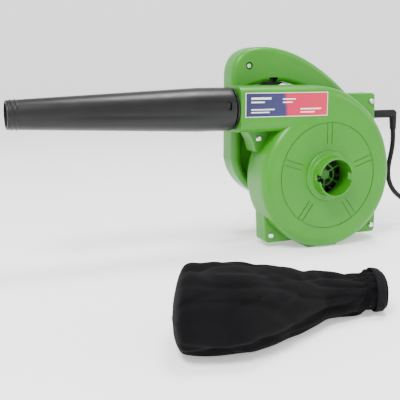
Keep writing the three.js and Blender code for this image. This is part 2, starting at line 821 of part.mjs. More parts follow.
// A ball bearing as one ring with its shield faces set back.
function makeBearing(name, { r, width, y }) {
  const inner = SHAFT_R + PART_GAP;
  const y1 = y + width - PART_GAP;
  const y0 = y + PART_GAP;
  const profile = [
    [inner, y0],
    [inner + 1.8, y0],
    [inner + 1.8, y0 + 0.6],
    [r - 1.8, y0 + 0.6],
    [r - 1.8, y0],
    [r, y0],
    [r, y1],
    [r - 1.8, y1],
    [r - 1.8, y1 - 0.6],
    [inner + 1.8, y1 - 0.6],
    [inner + 1.8, y1],
    [inner, y1],
    [inner, y0],
  ];
  place(name, turnedY(profile, FAN_X, FAN_Z, 16), "steel");
}

makeRotor();

// ---------------------------------------------------------------- stator and brushes
// The field core is a ring with a pole at each side that reaches in to the armature.
function makeStator() {
  const [y0, y1] = ARMATURE_Y;
  const ring = tubeY(STATOR_R, STATOR_R - 8, FAN_X, FAN_Z, y0, y1, 28);
  const pole = block(-STATOR_R + 3, STATOR_R - 3, y0, y1, FAN_Z - 13, FAN_Z + 13);
  const opening = pinY(ARMATURE_R + RUN_GAP, FAN_X, FAN_Z, y0 - 1, y1 + 1, 28);
  place("stator_core", cut(ring.add(pole), [opening]), "steel");
  const coil0 = ARMATURE_R + 3;
  const coil1 = STATOR_R - 13;
  for (const [name, side] of [["left", -1], ["right", 1]]) {
    const x0 = side < 0 ? -coil1 : coil0;
    const x1 = side < 0 ? -coil0 : coil1;
    const halfWidth = 17;
    const body = block(x0, x1, y0 - 7, y1 + 7, FAN_Z - halfWidth, FAN_Z + halfWidth);
    const hole = 13 + PART_GAP;
    const core = block(x0 - 1, x1 + 1, y0 - PART_GAP, y1 + PART_GAP, FAN_Z - hole, FAN_Z + hole);
    place(`field_coil_${name}`, body.subtract(core), "copper");
  }
}

const BRUSH = { y: 7, z: 5, length: 16, travel: 4 };

// Brushes slide in brass boxes, pressed on the commutator from left and right.
function makeBrushes() {
  const midY = (COMMUTATOR_Y[0] + COMMUTATOR_Y[1]) / 2;
  const start = COMMUTATOR_R + PART_GAP;
  for (const [name, side] of [["left", -1], ["right", 1]]) {
    const across = (a, b) => (side < 0 ? [-b, -a] : [a, b]);
    const slab = (a, b, halfY, halfZ) =>
      block(...across(a, b), midY - halfY, midY + halfY, FAN_Z - halfZ, FAN_Z + halfZ);
    const brush = slab(start, start + BRUSH.length, BRUSH.y / 2, BRUSH.z / 2);
    const boxEnd = MOTOR_R - WALL - 1;
    const walls = slab(start + 3, boxEnd, BRUSH.y / 2 + 2, BRUSH.z / 2 + 2);
    const way = slab(
      start,
      boxEnd + 1,
      BRUSH.y / 2 + PART_GAP,
      BRUSH.z / 2 + PART_GAP,
    );
    place(`brush_${name}`, brush, "carbon");
    place(`brush_holder_${name}`, walls.subtract(way), "brass");
    const cap = slab(start + BRUSH.length + BRUSH.travel + 1, boxEnd - 1, 2, 2);
    place(`brush_spring_${name}`, cap, "steel");
  }
}

makeStator();
makeBrushes();

// ---------------------------------------------------------------- handle and motor shells
const TRIGGER = { x0: -57, x1: -26, pivotX: -24, pivotZ: GRIP_UNDER_Z + 4.5, pinR: 2 };
const TAIL_X = 108;
const TAIL_Z = [142, 165];
const CORD_EXIT_Z = 153;
const HANDLE_SCREWS = [
  [-76, 217],
  [66, 136],
  [-70, 73],
];

// Outline of the handle and the motor drum behind it, seen from the front.
function handleOutline() {
  const shape = new THREE.Shape();
  const left = PILLAR_X;
  shape.moveTo(-52, 58);
  shape.lineTo(-57, 56.7);
  shape.quadraticCurveTo(left + 5.5, 72, left, 105);
  shape.lineTo(left, GRIP_TOP_Z - 36);
  shape.quadraticCurveTo(left, GRIP_TOP_Z, left + 41, GRIP_TOP_Z);
  shape.bezierCurveTo(-16, GRIP_TOP_Z, 25, GRIP_TOP_Z - 23.5, 58, GRIP_TOP_Z - 52.5);
  shape.quadraticCurveTo(80, TAIL_Z[1] + 2, 92, TAIL_Z[1]);
  shape.lineTo(TAIL_X, TAIL_Z[1]);
  shape.lineTo(TAIL_X, TAIL_Z[0]);
  shape.lineTo(88, TAIL_Z[0] - 2);
  shape.quadraticCurveTo(66, 126, 48, 100);
  shape.lineTo(0, FAN_Z);
  return shape;
}

// The finger opening: above the drum, under the grip.
function handOpening(leftX, closeLeft) {
  const shape = new THREE.Shape();
  const rimR = MOTOR_R + 4;
  const a0 = 0.66;
  shape.moveTo(leftX, closeLeft);
  shape.lineTo(leftX, GRIP_UNDER_Z - 20);
  shape.quadraticCurveTo(leftX, GRIP_UNDER_Z - 5.5, leftX + 16, GRIP_UNDER_Z - 4);
  shape.lineTo(TRIGGER.x0 - 3, GRIP_UNDER_Z - 2);
  shape.lineTo(TRIGGER.x0 + 3, GRIP_UNDER_Z);
  shape.lineTo(TRIGGER.x1 - 4, GRIP_UNDER_Z);
  shape.bezierCurveTo(0, GRIP_UNDER_Z - 4, 24, GRIP_UNDER_Z - 18, 44, GRIP_UNDER_Z - 40);
  shape.quadraticCurveTo(56, 152, rimR * Math.cos(a0), FAN_Z + rimR * Math.sin(a0));
  return shape;
}

function openingThrough() {
  const leftX = PILLAR_X + PILLAR_WIDTH;
  const shape = handOpening(leftX, 144);
  shape.absarc(0, FAN_Z, MOTOR_R + 4, 0.66, 2.05, false);
  shape.lineTo(leftX, 144);
  return shape;
}

// The recess beside the drum that the web closes half way through the handle.
function openingRecess() {
  const leftX = PILLAR_X + PILLAR_WIDTH;
  const shape = handOpening(leftX, 104);
  shape.absarc(0, FAN_Z, MOTOR_R + 4, 0.66, 3.28, false);
  shape.quadraticCurveTo(leftX + 4, 78, leftX, 104);
  return shape;
}

// Room in the grip for the switch and its leads, with the way out for the cord.
function gripHollow() {
  const shape = new THREE.Shape();
  shape.moveTo(-64, GRIP_UNDER_Z + 2.5);
  shape.lineTo(-64, GRIP_TOP_Z - 6);
  shape.lineTo(-54, GRIP_TOP_Z - 4);
  shape.bezierCurveTo(-17, GRIP_TOP_Z - 4, 22, GRIP_TOP_Z - 27, 54, GRIP_TOP_Z - 55);
  shape.quadraticCurveTo(76, TAIL_Z[1] - 3, 90, TAIL_Z[1] - 5);
  shape.lineTo(TAIL_X - 10, TAIL_Z[1] - 5);
  shape.lineTo(TAIL_X - 10, TAIL_Z[0] + 5);
  shape.lineTo(80, TAIL_Z[0] + 5);
  shape.quadraticCurveTo(60, 154, 48, GRIP_UNDER_Z - 38);
  shape.bezierCurveTo(26, GRIP_UNDER_Z - 15, 2, GRIP_UNDER_Z - 1, -20, GRIP_UNDER_Z + 3);
  return shape;
}

function shellHalf(y0, y1, webY0, webY1) {
  const far = 400;
  const outline = plateY(handleOutline(), y0, y1, 8);
  const drum = pinY(MOTOR_R, FAN_X, FAN_Z, y0, y1, ARC_SEGMENTS);
  const through = plateY(openingThrough(), y0 - 1, y1 + 1, 8);
  const recess = plateY(openingRecess(), y0 - 1, y1 + 1, 8);
  const web = block(-far, far, webY0, webY1, -far, far);
  return cut(outline.add(drum), [through, recess.subtract(web)]);
}

const MOUTH = { r: CORD_D / 2 + 2.2, y: HANDLE_SPLIT_Y };
const BOOT_GROOVE = { x0: TAIL_X - 7, x1: TAIL_X - 4, r: MOUTH.r + 2.5 };

function handleCuts() {
  const hollow = plateY(gripHollow(), HANDLE_FRONT_Y + WALL, HANDLE_BACK_Y - WALL, 8);
  const slot = block(
    TRIGGER.x0 - 1.6,
    TRIGGER.pivotX + 6,
    HANDLE_SPLIT_Y - 8 - RUN_GAP,
    HANDLE_SPLIT_Y + 8 + RUN_GAP,
    GRIP_UNDER_Z - 12,
    TRIGGER.pivotZ + 7,
  );
  const mouth = pinX(MOUTH.r + PART_GAP, MOUTH.y, CORD_EXIT_Z, TAIL_X - 12, TAIL_X + 1, 16);
  const groove = pinX(
    BOOT_GROOVE.r + PART_GAP,
    MOUTH.y,
    CORD_EXIT_Z,
    BOOT_GROOVE.x0 - PART_GAP,
    BOOT_GROOVE.x1 + PART_GAP,
    16,
  );
  const pivot = pinY(
    TRIGGER.pinR + PART_GAP,
    TRIGGER.pivotX,
    TRIGGER.pivotZ,
    HANDLE_FRONT_Y + 1.5,
    HANDLE_BACK_Y - 1.5,
    12,
  );
  const notch = block(
    TRIGGER.x0 + 8,
    TRIGGER.x0 + 20,
    HANDLE_FRONT_Y - 1,
    HANDLE_SPLIT_Y,
    GRIP_UNDER_Z - 1,
    GRIP_UNDER_Z + 6,
  );
  return [hollow, slot, notch, mouth, groove, pivot];
}

const LOCK = { x: -46, z: 219, r: 5, travel: 3 };

function makeShells() {
  const splitA = HANDLE_SPLIT_Y - PART_GAP / 2;
  const splitB = HANDLE_SPLIT_Y + PART_GAP / 2;
  const webA = HANDLE_FRONT_Y + 8;
  const webB = HANDLE_BACK_Y - 8;
  const chamberR = MOTOR_R - WALL;
  const neckY = CASING_BACK_Y + PART_GAP;
  const cuts = handleCuts();

  const front = shellHalf(HANDLE_FRONT_Y, splitA, webA, splitA + 1);
  const neck = pinY(MOTOR_R, FAN_X, FAN_Z, neckY, HANDLE_FRONT_Y + 1, ARC_SEGMENTS);
  const chamber = pinY(chamberR, FAN_X, FAN_Z, neckY - 1, MOTOR_CAP_Y + 1, 36);
  const headWells = HANDLE_SCREWS.map(([x, z]) =>
    pinY(SCREW_HEAD_R + 1, x, z, HANDLE_FRONT_Y - 1, HANDLE_FRONT_Y + 4, 16),
  );
  const frontHoles = HANDLE_SCREWS.map(([x, z]) =>
    screwHole(x, z, HANDLE_FRONT_Y, splitA + 1),
  );
  place(
    "handle_shell_front",
    cut(front.add(neck), [chamber, ...cuts, ...headWells, ...frontHoles]),
    "green",
  );

  const back = shellHalf(splitB, HANDLE_BACK_Y, splitB - 1, webB);
  const drum = pinY(MOTOR_R, FAN_X, FAN_Z, splitB, MOTOR_CAP_Y - PART_GAP, ARC_SEGMENTS);
  const backHoles = HANDLE_SCREWS.map(([x, z]) =>
    screwHole(x, z, splitB - 1, HANDLE_FRONT_Y + 4 + 25),
  );
  const lockHole = pinY(LOCK.r + RUN_GAP, LOCK.x, LOCK.z, HANDLE_BACK_Y - 6, HANDLE_BACK_Y + 1, 16);
  const standX = 28;
  const stand = block(-standX, standX, MOTOR_CAP_Y - 22, MOTOR_CAP_Y - 4, 0, FAN_Z - MOTOR_R + 12);
  place(
    "handle_shell_back",
    cut(join([back, drum, stand]), [
      chamber,
      ...cuts,
      ...backHoles,
      lockHole,
    ]),
    "green",
  );
  place("motor_cap", makeCap(), "green");
  HANDLE_SCREWS.forEach(([x, z], i) => {
    const seat = HANDLE_FRONT_Y + 4;
    place(`handle_screw_${i + 1}`, screwY(x, z, seat, 24), "zinc");
  });
}

// The rear cap, with two fans of cooling slots and the rear bearing's seat.
function makeCap() {
  const y0 = MOTOR_CAP_Y;
  const y1 = y0 + MOTOR_CAP_THICKNESS;
  const disc = turnedY(
    [
      [0, y0],
      [MOTOR_R, y0],
      [MOTOR_R, y1 - 2.5],
      [MOTOR_R - 2.5, y1],
      [0, y1],
    ],
    FAN_X,
    FAN_Z,
    ARC_SEGMENTS,
  );
  const { r, width, y } = REAR_BEARING;
  const boss = pinY(r + WALL, FAN_X, FAN_Z, y - 2, y0 + 1, 20);
  const seat = pinY(r + PART_GAP, FAN_X, FAN_Z, y - 3, y + width, 20);
  const slots = [];
  const rows = 4;
  for (const side of [-1, 1])
    for (let i = 0; i < rows; i++) {
      const x = side * (18 + i * 8.5);
      const half = Math.sqrt((MOTOR_R - 9) ** 2 - x * x);
      slots.push(block(x - 1.7, x + 1.7, y0 - 1, y1 + 1, FAN_Z - half, FAN_Z + half));
    }
  return cut(disc.add(boss), [seat, ...slots]);
}

makeShells();

// ---------------------------------------------------------------- switch and trigger
const SWITCH = { x0: -58, x1: -22, z0: 214, z1: 228, halfY: 8.5 };

function makeTrigger() {
  const { x0, x1, pivotX, pivotZ } = TRIGGER;
  const shape = new THREE.Shape();
  shape.moveTo(x0, GRIP_UNDER_Z + 4);
  shape.lineTo(x0, GRIP_UNDER_Z - 6);
  shape.quadraticCurveTo(x0 + 3, GRIP_UNDER_Z - 12, x0 + 12, GRIP_UNDER_Z - 8);
  shape.quadraticCurveTo(x1 - 8, GRIP_UNDER_Z - 5, x1, GRIP_UNDER_Z - 1);
  shape.lineTo(pivotX + 4.5, pivotZ - 3);
  shape.lineTo(pivotX + 4.5, pivotZ + 3);
  shape.lineTo(pivotX, pivotZ + 4.5);
  shape.lineTo(x1 - 6, GRIP_UNDER_Z + 5);
  const body = plateY(shape, HANDLE_SPLIT_Y - 8, HANDLE_SPLIT_Y + 8, 6);
  const bore = pinY(TRIGGER.pinR + PART_GAP, pivotX, pivotZ, HANDLE_FRONT_Y, HANDLE_BACK_Y, 12);
  return body.subtract(bore);
}

function makeSwitchGear() {
  const { x0, x1, z0, z1, halfY } = SWITCH;
  const y0 = HANDLE_SPLIT_Y - halfY;
  const y1 = HANDLE_SPLIT_Y + halfY;
  place("trigger", makeTrigger(), "black");
  place(
    "trigger_pin",
    pinY(
      TRIGGER.pinR,
      TRIGGER.pivotX,
      TRIGGER.pivotZ,
      HANDLE_FRONT_Y + 2,
      HANDLE_BACK_Y - 2,
      12,
    ),
    "steel",
  );
  place("switch_body", block(x0, x1, y0, y1, z0, z1), "black");
  const springTop = z0 - PART_GAP;
  const springFoot = GRIP_UNDER_Z + 5 + PART_GAP;
  const spring = turnedZ(
    [
      [1.8, springFoot],
      [3.2, springFoot],
      [3.2, springTop],
      [1.8, springTop],
      [1.8, springFoot],
    ],
    TRIGGER.x0 + 10,
    HANDLE_SPLIT_Y,
    12,
  );
  place("trigger_spring", spring, "steel");
  const buttonFoot = HANDLE_SPLIT_Y + halfY + LOCK.travel + 1;
  const button = turnedY(
    [
      [0, buttonFoot],
      [LOCK.r + 1.8, buttonFoot],
      [LOCK.r + 1.8, HANDLE_BACK_Y - WALL - PART_GAP],
      [LOCK.r, HANDLE_BACK_Y - WALL - PART_GAP],
      [LOCK.r, HANDLE_BACK_Y + LOCK.travel],
      [LOCK.r - 1, HANDLE_BACK_Y + LOCK.travel + 0.8],
      [0, HANDLE_BACK_Y + LOCK.travel + 0.8],
    ],
    LOCK.x,
    LOCK.z,
    16,
  );
  place("lock_button", button, "black");
}

makeSwitchGear();

// ---------------------------------------------------------------- cord, coil and plug
// Angled rubber boot: its flange sits in the shells, its sleeve turns down.
const BOOT = { corner: [146, 153], sleeveEnd: [147.5, 132], r: 5.2, tipR: 4.2 };

function sweptTube(points, radius, sides, steps) {
  const section = new THREE.Shape();
  for (let i = 0; i < sides; i++) {
    const a = (i / sides) * 2 * Math.PI;
    const x = radius * Math.cos(a);
    const y = radius * Math.sin(a);
    if (i === 0) section.moveTo(x, y);
    else section.lineTo(x, y);
  }
  const curve = new THREE.CatmullRomCurve3(
    points.map(([x, y, z]) => new THREE.Vector3(x, y, z)),
    false,
    "centripetal",
  );
  const geometry = new THREE.ExtrudeGeometry(section, {
    steps,
    bevelEnabled: false,
    extrudePath: curve,
  });
  return solid(geometry);
}

function makeBoot() {
  const y = MOUTH.y;
  const [cornerX, cornerZ] = BOOT.corner;
  const [endX, endZ] = BOOT.sleeveEnd;
  const level = pinX(MOUTH.r, y, CORD_EXIT_Z, TAIL_X - 11, cornerX, 12);
  const flange = pinX(BOOT_GROOVE.r, y, CORD_EXIT_Z, BOOT_GROOVE.x0, BOOT_GROOVE.x1, 12);
  const elbow = new THREE.SphereGeometry(BOOT.r + 0.3, 12, 8);
  elbow.translate(cornerX, y, cornerZ);
  const run = Math.hypot(endX - cornerX, endZ - cornerZ);
  const sleeve = new THREE.CylinderGeometry(BOOT.r, BOOT.tipR, run, 12);
  sleeve.translate(0, -run / 2, 0);
  sleeve.rotateX(Math.PI / 2);
  sleeve.rotateY(-Math.atan2(endX - cornerX, cornerZ - endZ));
  sleeve.translate(cornerX, y, cornerZ);
  return join([level, flange, solid(elbow), solid(sleeve)]);
}

const CORD_Y = HANDLE_SPLIT_Y;
const FLOOR_Z = CORD_D / 2 + 0.3;
const CORD_ROUTE = [
  [147.5, CORD_Y, 131.6],
  [148.3, CORD_Y, 120],
  [147.8, CORD_Y, 108],
  [145.8, CORD_Y, 96],
  [143.6, CORD_Y, 84],
  [143.2, CORD_Y, 72],
  [146, CORD_Y, 60],
  [152.5, CORD_Y, 49],
  [162, CORD_Y, 40],
  [174, CORD_Y, 32],
  [188, CORD_Y, 23],
  [202, CORD_Y, 14],
  [217, CORD_Y, 7],
  [233, CORD_Y, FLOOR_Z],
  [250, CORD_Y, FLOOR_Z],
];

// The spare length lies in a round coil, about five turns in two layers. The cord arrives along
// the side away from the front, and the plug's lead leaves it on the right.
const COIL_INNER_R = 25.8;
const COIL_TURN_R = [29.5, 36, 42.5];
const COIL_OUTER_R = COIL_TURN_R[2] + CORD_D / 2 + 0.65;
const COIL_PASS_R = COIL_OUTER_R + CORD_D / 2 + PART_GAP;
const COIL = { x: 251, y: CORD_Y - COIL_PASS_R, height: 2 * CORD_D + 0.4 };
const TAIL_LINE_X = COIL.x + COIL_PASS_R;
const TAIL_Z_HIGH = 1.5 * CORD_D;
const PLUG = { neckY: COIL.y - 31, shoulderY: COIL.y - 50, length: 30, halfWidth: 17.5, height: 18.6 };
const TAIL_ROUTE = [
  [TAIL_LINE_X, COIL.y, TAIL_Z_HIGH],
  [TAIL_LINE_X, COIL.y - 15, TAIL_Z_HIGH - 0.2],
  [TAIL_LINE_X, PLUG.neckY + PART_GAP, PLUG.height / 2],
];
const PLUG_PIN_R = 2.4;
const PLUG_PIN_LENGTH = 19;
const PLUG_PIN_SPACING = 19;

function makeCord() {
  place("cord_boot", makeBoot(), "rubber");
  place("power_cord", sweptTube(CORD_ROUTE, CORD_D / 2, 8, 26), "rubber");
  const ring = turnedZ(
    [
      [COIL_INNER_R, 0],
      [COIL_OUTER_R, 0],
      [COIL_OUTER_R, COIL.height],
      [COIL_INNER_R, COIL.height],
      [COIL_INNER_R, 0],
    ],
    COIL.x,
    COIL.y,
    36,
  );
  place("cord_coil", ring, "rubber");
  place("cord_tail", sweptTube(TAIL_ROUTE, CORD_D / 2, 8, 4), "rubber");
}

// A moulded two-pin plug that lies flat, with a tapered sleeve where the cord enters.
function makePlug() {
  const { neckY, shoulderY, length, halfWidth, height } = PLUG;
  const faceY = shoulderY - length;
  const x = TAIL_LINE_X;
  const sleeve = turnedY(
    [
      [0, shoulderY - 4],
      [7.5, shoulderY - 4],
      [5, neckY],
      [0, neckY],
    ],
    x,
    height / 2,
    12,
  );
  const outline = new THREE.Shape();
  outline.moveTo(x - 8, shoulderY);
  outline.quadraticCurveTo(x - halfWidth, shoulderY - 5, x - halfWidth, shoulderY - 15);
  outline.lineTo(x - halfWidth, faceY + 2);
  outline.lineTo(x - halfWidth + 2, faceY);
  outline.lineTo(x + halfWidth - 2, faceY);
  outline.lineTo(x + halfWidth, faceY + 2);
  outline.lineTo(x + halfWidth, shoulderY - 15);
  outline.quadraticCurveTo(x + halfWidth, shoulderY - 5, x + 8, shoulderY);
  const body = new THREE.ExtrudeGeometry(outline, {
    depth: height,
    bevelEnabled: false,
    curveSegments: 4,
  });
  place("plug_body", sleeve.add(solid(body)), "rubber");
  [-1, 1].forEach((side, i) => {
    const pinX0 = x + (side * PLUG_PIN_SPACING) / 2;
    const end = faceY - PART_GAP;
    const pin = turnedY(
      [
        [0, end - PLUG_PIN_LENGTH],
        [PLUG_PIN_R * 0.6, end - PLUG_PIN_LENGTH],
        [PLUG_PIN_R, end - PLUG_PIN_LENGTH + 2],
        [PLUG_PIN_R, end],
        [0, end],
      ],
      pinX0,
      height / 2,
      12,
    );
    place(`plug_pin_${i + 1}`, pin, "brass");
  });
}

// Inside the grip: the cord's inner end runs up to the switch, held by a screwed bar.
const INNER_LEAD_D = 5;
const INNER_LEAD_ROUTE = [
  [TAIL_X - 11 - PART_GAP, CORD_Y, CORD_EXIT_Z],
  [89, CORD_Y, 153],
  [80, CORD_Y, 154],
  [69, CORD_Y, 161],
  [56, CORD_Y, 172],
  [38, CORD_Y, 188],
  [18, CORD_Y, 204],
  [-3, CORD_Y, 215],
  [SWITCH.x1 + 1.5, CORD_Y, 219.5],
];
const CLAMP = { x0: 82, x1: 90, halfY: 11, screwY: 8 };

function makeInnerLead() {
  place("inner_lead", sweptTube(INNER_LEAD_ROUTE, INNER_LEAD_D / 2, 8, 24), "black");
  const { x0, x1, halfY, screwY: offsetY } = CLAMP;
  const z0 = CORD_EXIT_Z + INNER_LEAD_D / 2 + 1.6;
  const z1 = z0 + 1.8;
  const bar = block(x0, x1, CORD_Y - halfY, CORD_Y + halfY, z0, z1);
  const x = (x0 + x1) / 2;
  const holes = [-offsetY, offsetY].map((dy) =>
    turnedZ(pinProfile(1.2 + PART_GAP, z0 - 1, z1 + 1), x, CORD_Y + dy, 8),
  );
  place("cord_clamp", cut(bar, holes), "black");
  [-offsetY, offsetY].forEach((dy, i) => {
    const foot = TAIL_Z[0] + 5 + PART_GAP;
    const pin = turnedZ(pinProfile(1.2, foot, z1 + 0.6), x, CORD_Y + dy, 8);
    const head = turnedZ(pinProfile(2, z1 + PART_GAP, z1 + 1.1), x, CORD_Y + dy, 8);
    place(`clamp_screw_${i + 1}`, pin.add(head), "zinc");
  });
}

function pinProfile(r, z0, z1) {
  return [
    [0, z0],
    [r, z0],
    [r, z1],
    [0, z1],
  ];
}

makeCord();
makePlug();
makeInnerLead();

// ---------------------------------------------------------------- dust bag
// The cloth bag lies half filled on the floor in front, its neck towards the right.
const BAG_STATIONS = [
  { x: -277, y: -236, halfDepth: 34, height: 40 },
  { x: -265, y: -243, halfDepth: 52, height: 61 },
  { x: -222, y: -256, halfDepth: 53, height: 62 },
  { x: -180, y: -247, halfDepth: 43, height: 53 },
  { x: -135, y: -230, halfDepth: 31, height: 41 },
  { x: -100, y: -229, halfDepth: 27, height: 36 },
  { x: -68, y: -232, halfDepth: 22, height: 31 },
];
const BAG_SKEW = 0.4; // how far a section leans along X for each mm across
const BAG_CLOTH = 2.2;
const BAG_MOUTH_DEPTH = 42;
const BAG_HEM = { width: 9, thickness: 1.6, inFromEnd: 3 };

// Centre and size of the bag's section at x, straight between the stations.
function bagAt(x) {
  const next = BAG_STATIONS.findIndex((station) => station.x >= x);
  const i = Math.max(1, next < 0 ? BAG_STATIONS.length - 1 : next);
  const a = BAG_STATIONS[i - 1];
  const b = BAG_STATIONS[i];
  const t = (x - a.x) / (b.x - a.x);
  const mix = (key) => a[key] + (b[key] - a[key]) * t;
  return { y: mix("y"), halfDepth: mix("halfDepth"), height: mix("height") };
}

// A section grown by "grow" all round, flat where it lies on the floor.
function bagRing(x, grow) {
  const { y, halfDepth, height } = bagAt(x);
  const count = 20;
  const power = 0.82;
  const soft = (v) => Math.sign(v) * Math.abs(v) ** power;
  return Array.from({ length: count }, (_, i) => {
    const a = ((i + 0.5) / count) * 2 * Math.PI;
    const aside = (halfDepth + grow) * soft(Math.cos(a));
    return new THREE.Vector3(
      x + BAG_SKEW * aside,
      y + aside,
      BAG_LIFT + height / 2 + (height / 2 + grow) * soft(Math.sin(a)),
    );
  });
}

function bagTube(x0, x1, grow) {
  const between = BAG_STATIONS.map((station) => station.x).filter((x) => x > x0 && x < x1);
  return loft([x0, ...between, x1].map((x) => bagRing(x, grow)));
}

const BAG_LIFT = BAG_HEM.thickness + PART_GAP;
const BAG_START_X = BAG_STATIONS[0].x;
const BAG_END_X = BAG_STATIONS[BAG_STATIONS.length - 1].x;

function makeBag() {
  const outer = bagTube(BAG_START_X, BAG_END_X, 0);
  const mouth = bagTube(BAG_END_X - BAG_MOUTH_DEPTH, BAG_END_X + 1, -BAG_CLOTH);
  place("dust_bag", outer.subtract(mouth), "cloth");
  const hemEnd = BAG_END_X - BAG_HEM.inFromEnd;
  const hemStart = hemEnd - BAG_HEM.width;
  const hemOuter = bagTube(hemStart, hemEnd, PART_GAP + BAG_HEM.thickness);
  const hemInner = bagTube(hemStart - 1, hemEnd + 1, PART_GAP);
  place("bag_hem", hemOuter.subtract(hemInner), "cloth");
}

makeBag();

export default blower;
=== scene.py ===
"""Finished look of a corded hand-held blower with its cloth dust bag.

Every size is in metres, in the frame of the solid model: +Z up, the fan turns about a line
along Y, and the nozzle points along -X.
"""

import json
import logging
import math
from collections.abc import Callable
from dataclasses import dataclass
from enum import Enum

import bpy
import numpy as np
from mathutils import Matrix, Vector


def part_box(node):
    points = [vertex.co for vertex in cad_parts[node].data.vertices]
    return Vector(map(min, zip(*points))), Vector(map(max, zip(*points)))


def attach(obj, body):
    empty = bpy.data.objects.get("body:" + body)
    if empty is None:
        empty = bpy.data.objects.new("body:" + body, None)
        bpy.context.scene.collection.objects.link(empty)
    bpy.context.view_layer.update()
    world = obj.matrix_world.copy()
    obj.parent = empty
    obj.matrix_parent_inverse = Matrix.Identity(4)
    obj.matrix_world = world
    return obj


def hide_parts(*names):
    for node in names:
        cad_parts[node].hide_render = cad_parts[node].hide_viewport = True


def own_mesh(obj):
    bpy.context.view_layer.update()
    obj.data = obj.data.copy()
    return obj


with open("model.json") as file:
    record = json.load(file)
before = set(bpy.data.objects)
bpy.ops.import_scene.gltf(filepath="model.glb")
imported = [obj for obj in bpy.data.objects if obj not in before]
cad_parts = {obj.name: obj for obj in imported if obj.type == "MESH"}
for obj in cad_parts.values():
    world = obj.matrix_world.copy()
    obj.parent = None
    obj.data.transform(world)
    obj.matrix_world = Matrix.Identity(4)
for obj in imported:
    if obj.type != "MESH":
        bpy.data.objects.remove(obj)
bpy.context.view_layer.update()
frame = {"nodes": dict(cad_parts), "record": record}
LOG = logging.getLogger("blower")
MM = 0.001


# ---------------------------------------------------------------- finishes
class Surface(Enum):
    """How the fine pattern of a finish is laid over a piece."""

    GRAIN = "grain"
    BRUSHED = "brushed"
    WEAVE = "weave"


class Axis(Enum):
    """The direction of the line that a profile is carried round."""

    X = "X"
    Y = "Y"


class Join(Enum):
    """What a piece does with the solids it is combined with."""

    CUT = "DIFFERENCE"
    ADD = "UNION"
    KEEP_COMMON = "INTERSECT"


def set_inputs(node: bpy.types.Node, values: dict[str, float | tuple[float, ...]]) -> None:
    """Gives values to the named inputs of a node."""
    for name, value in values.items():
        node.inputs[name].default_value = value


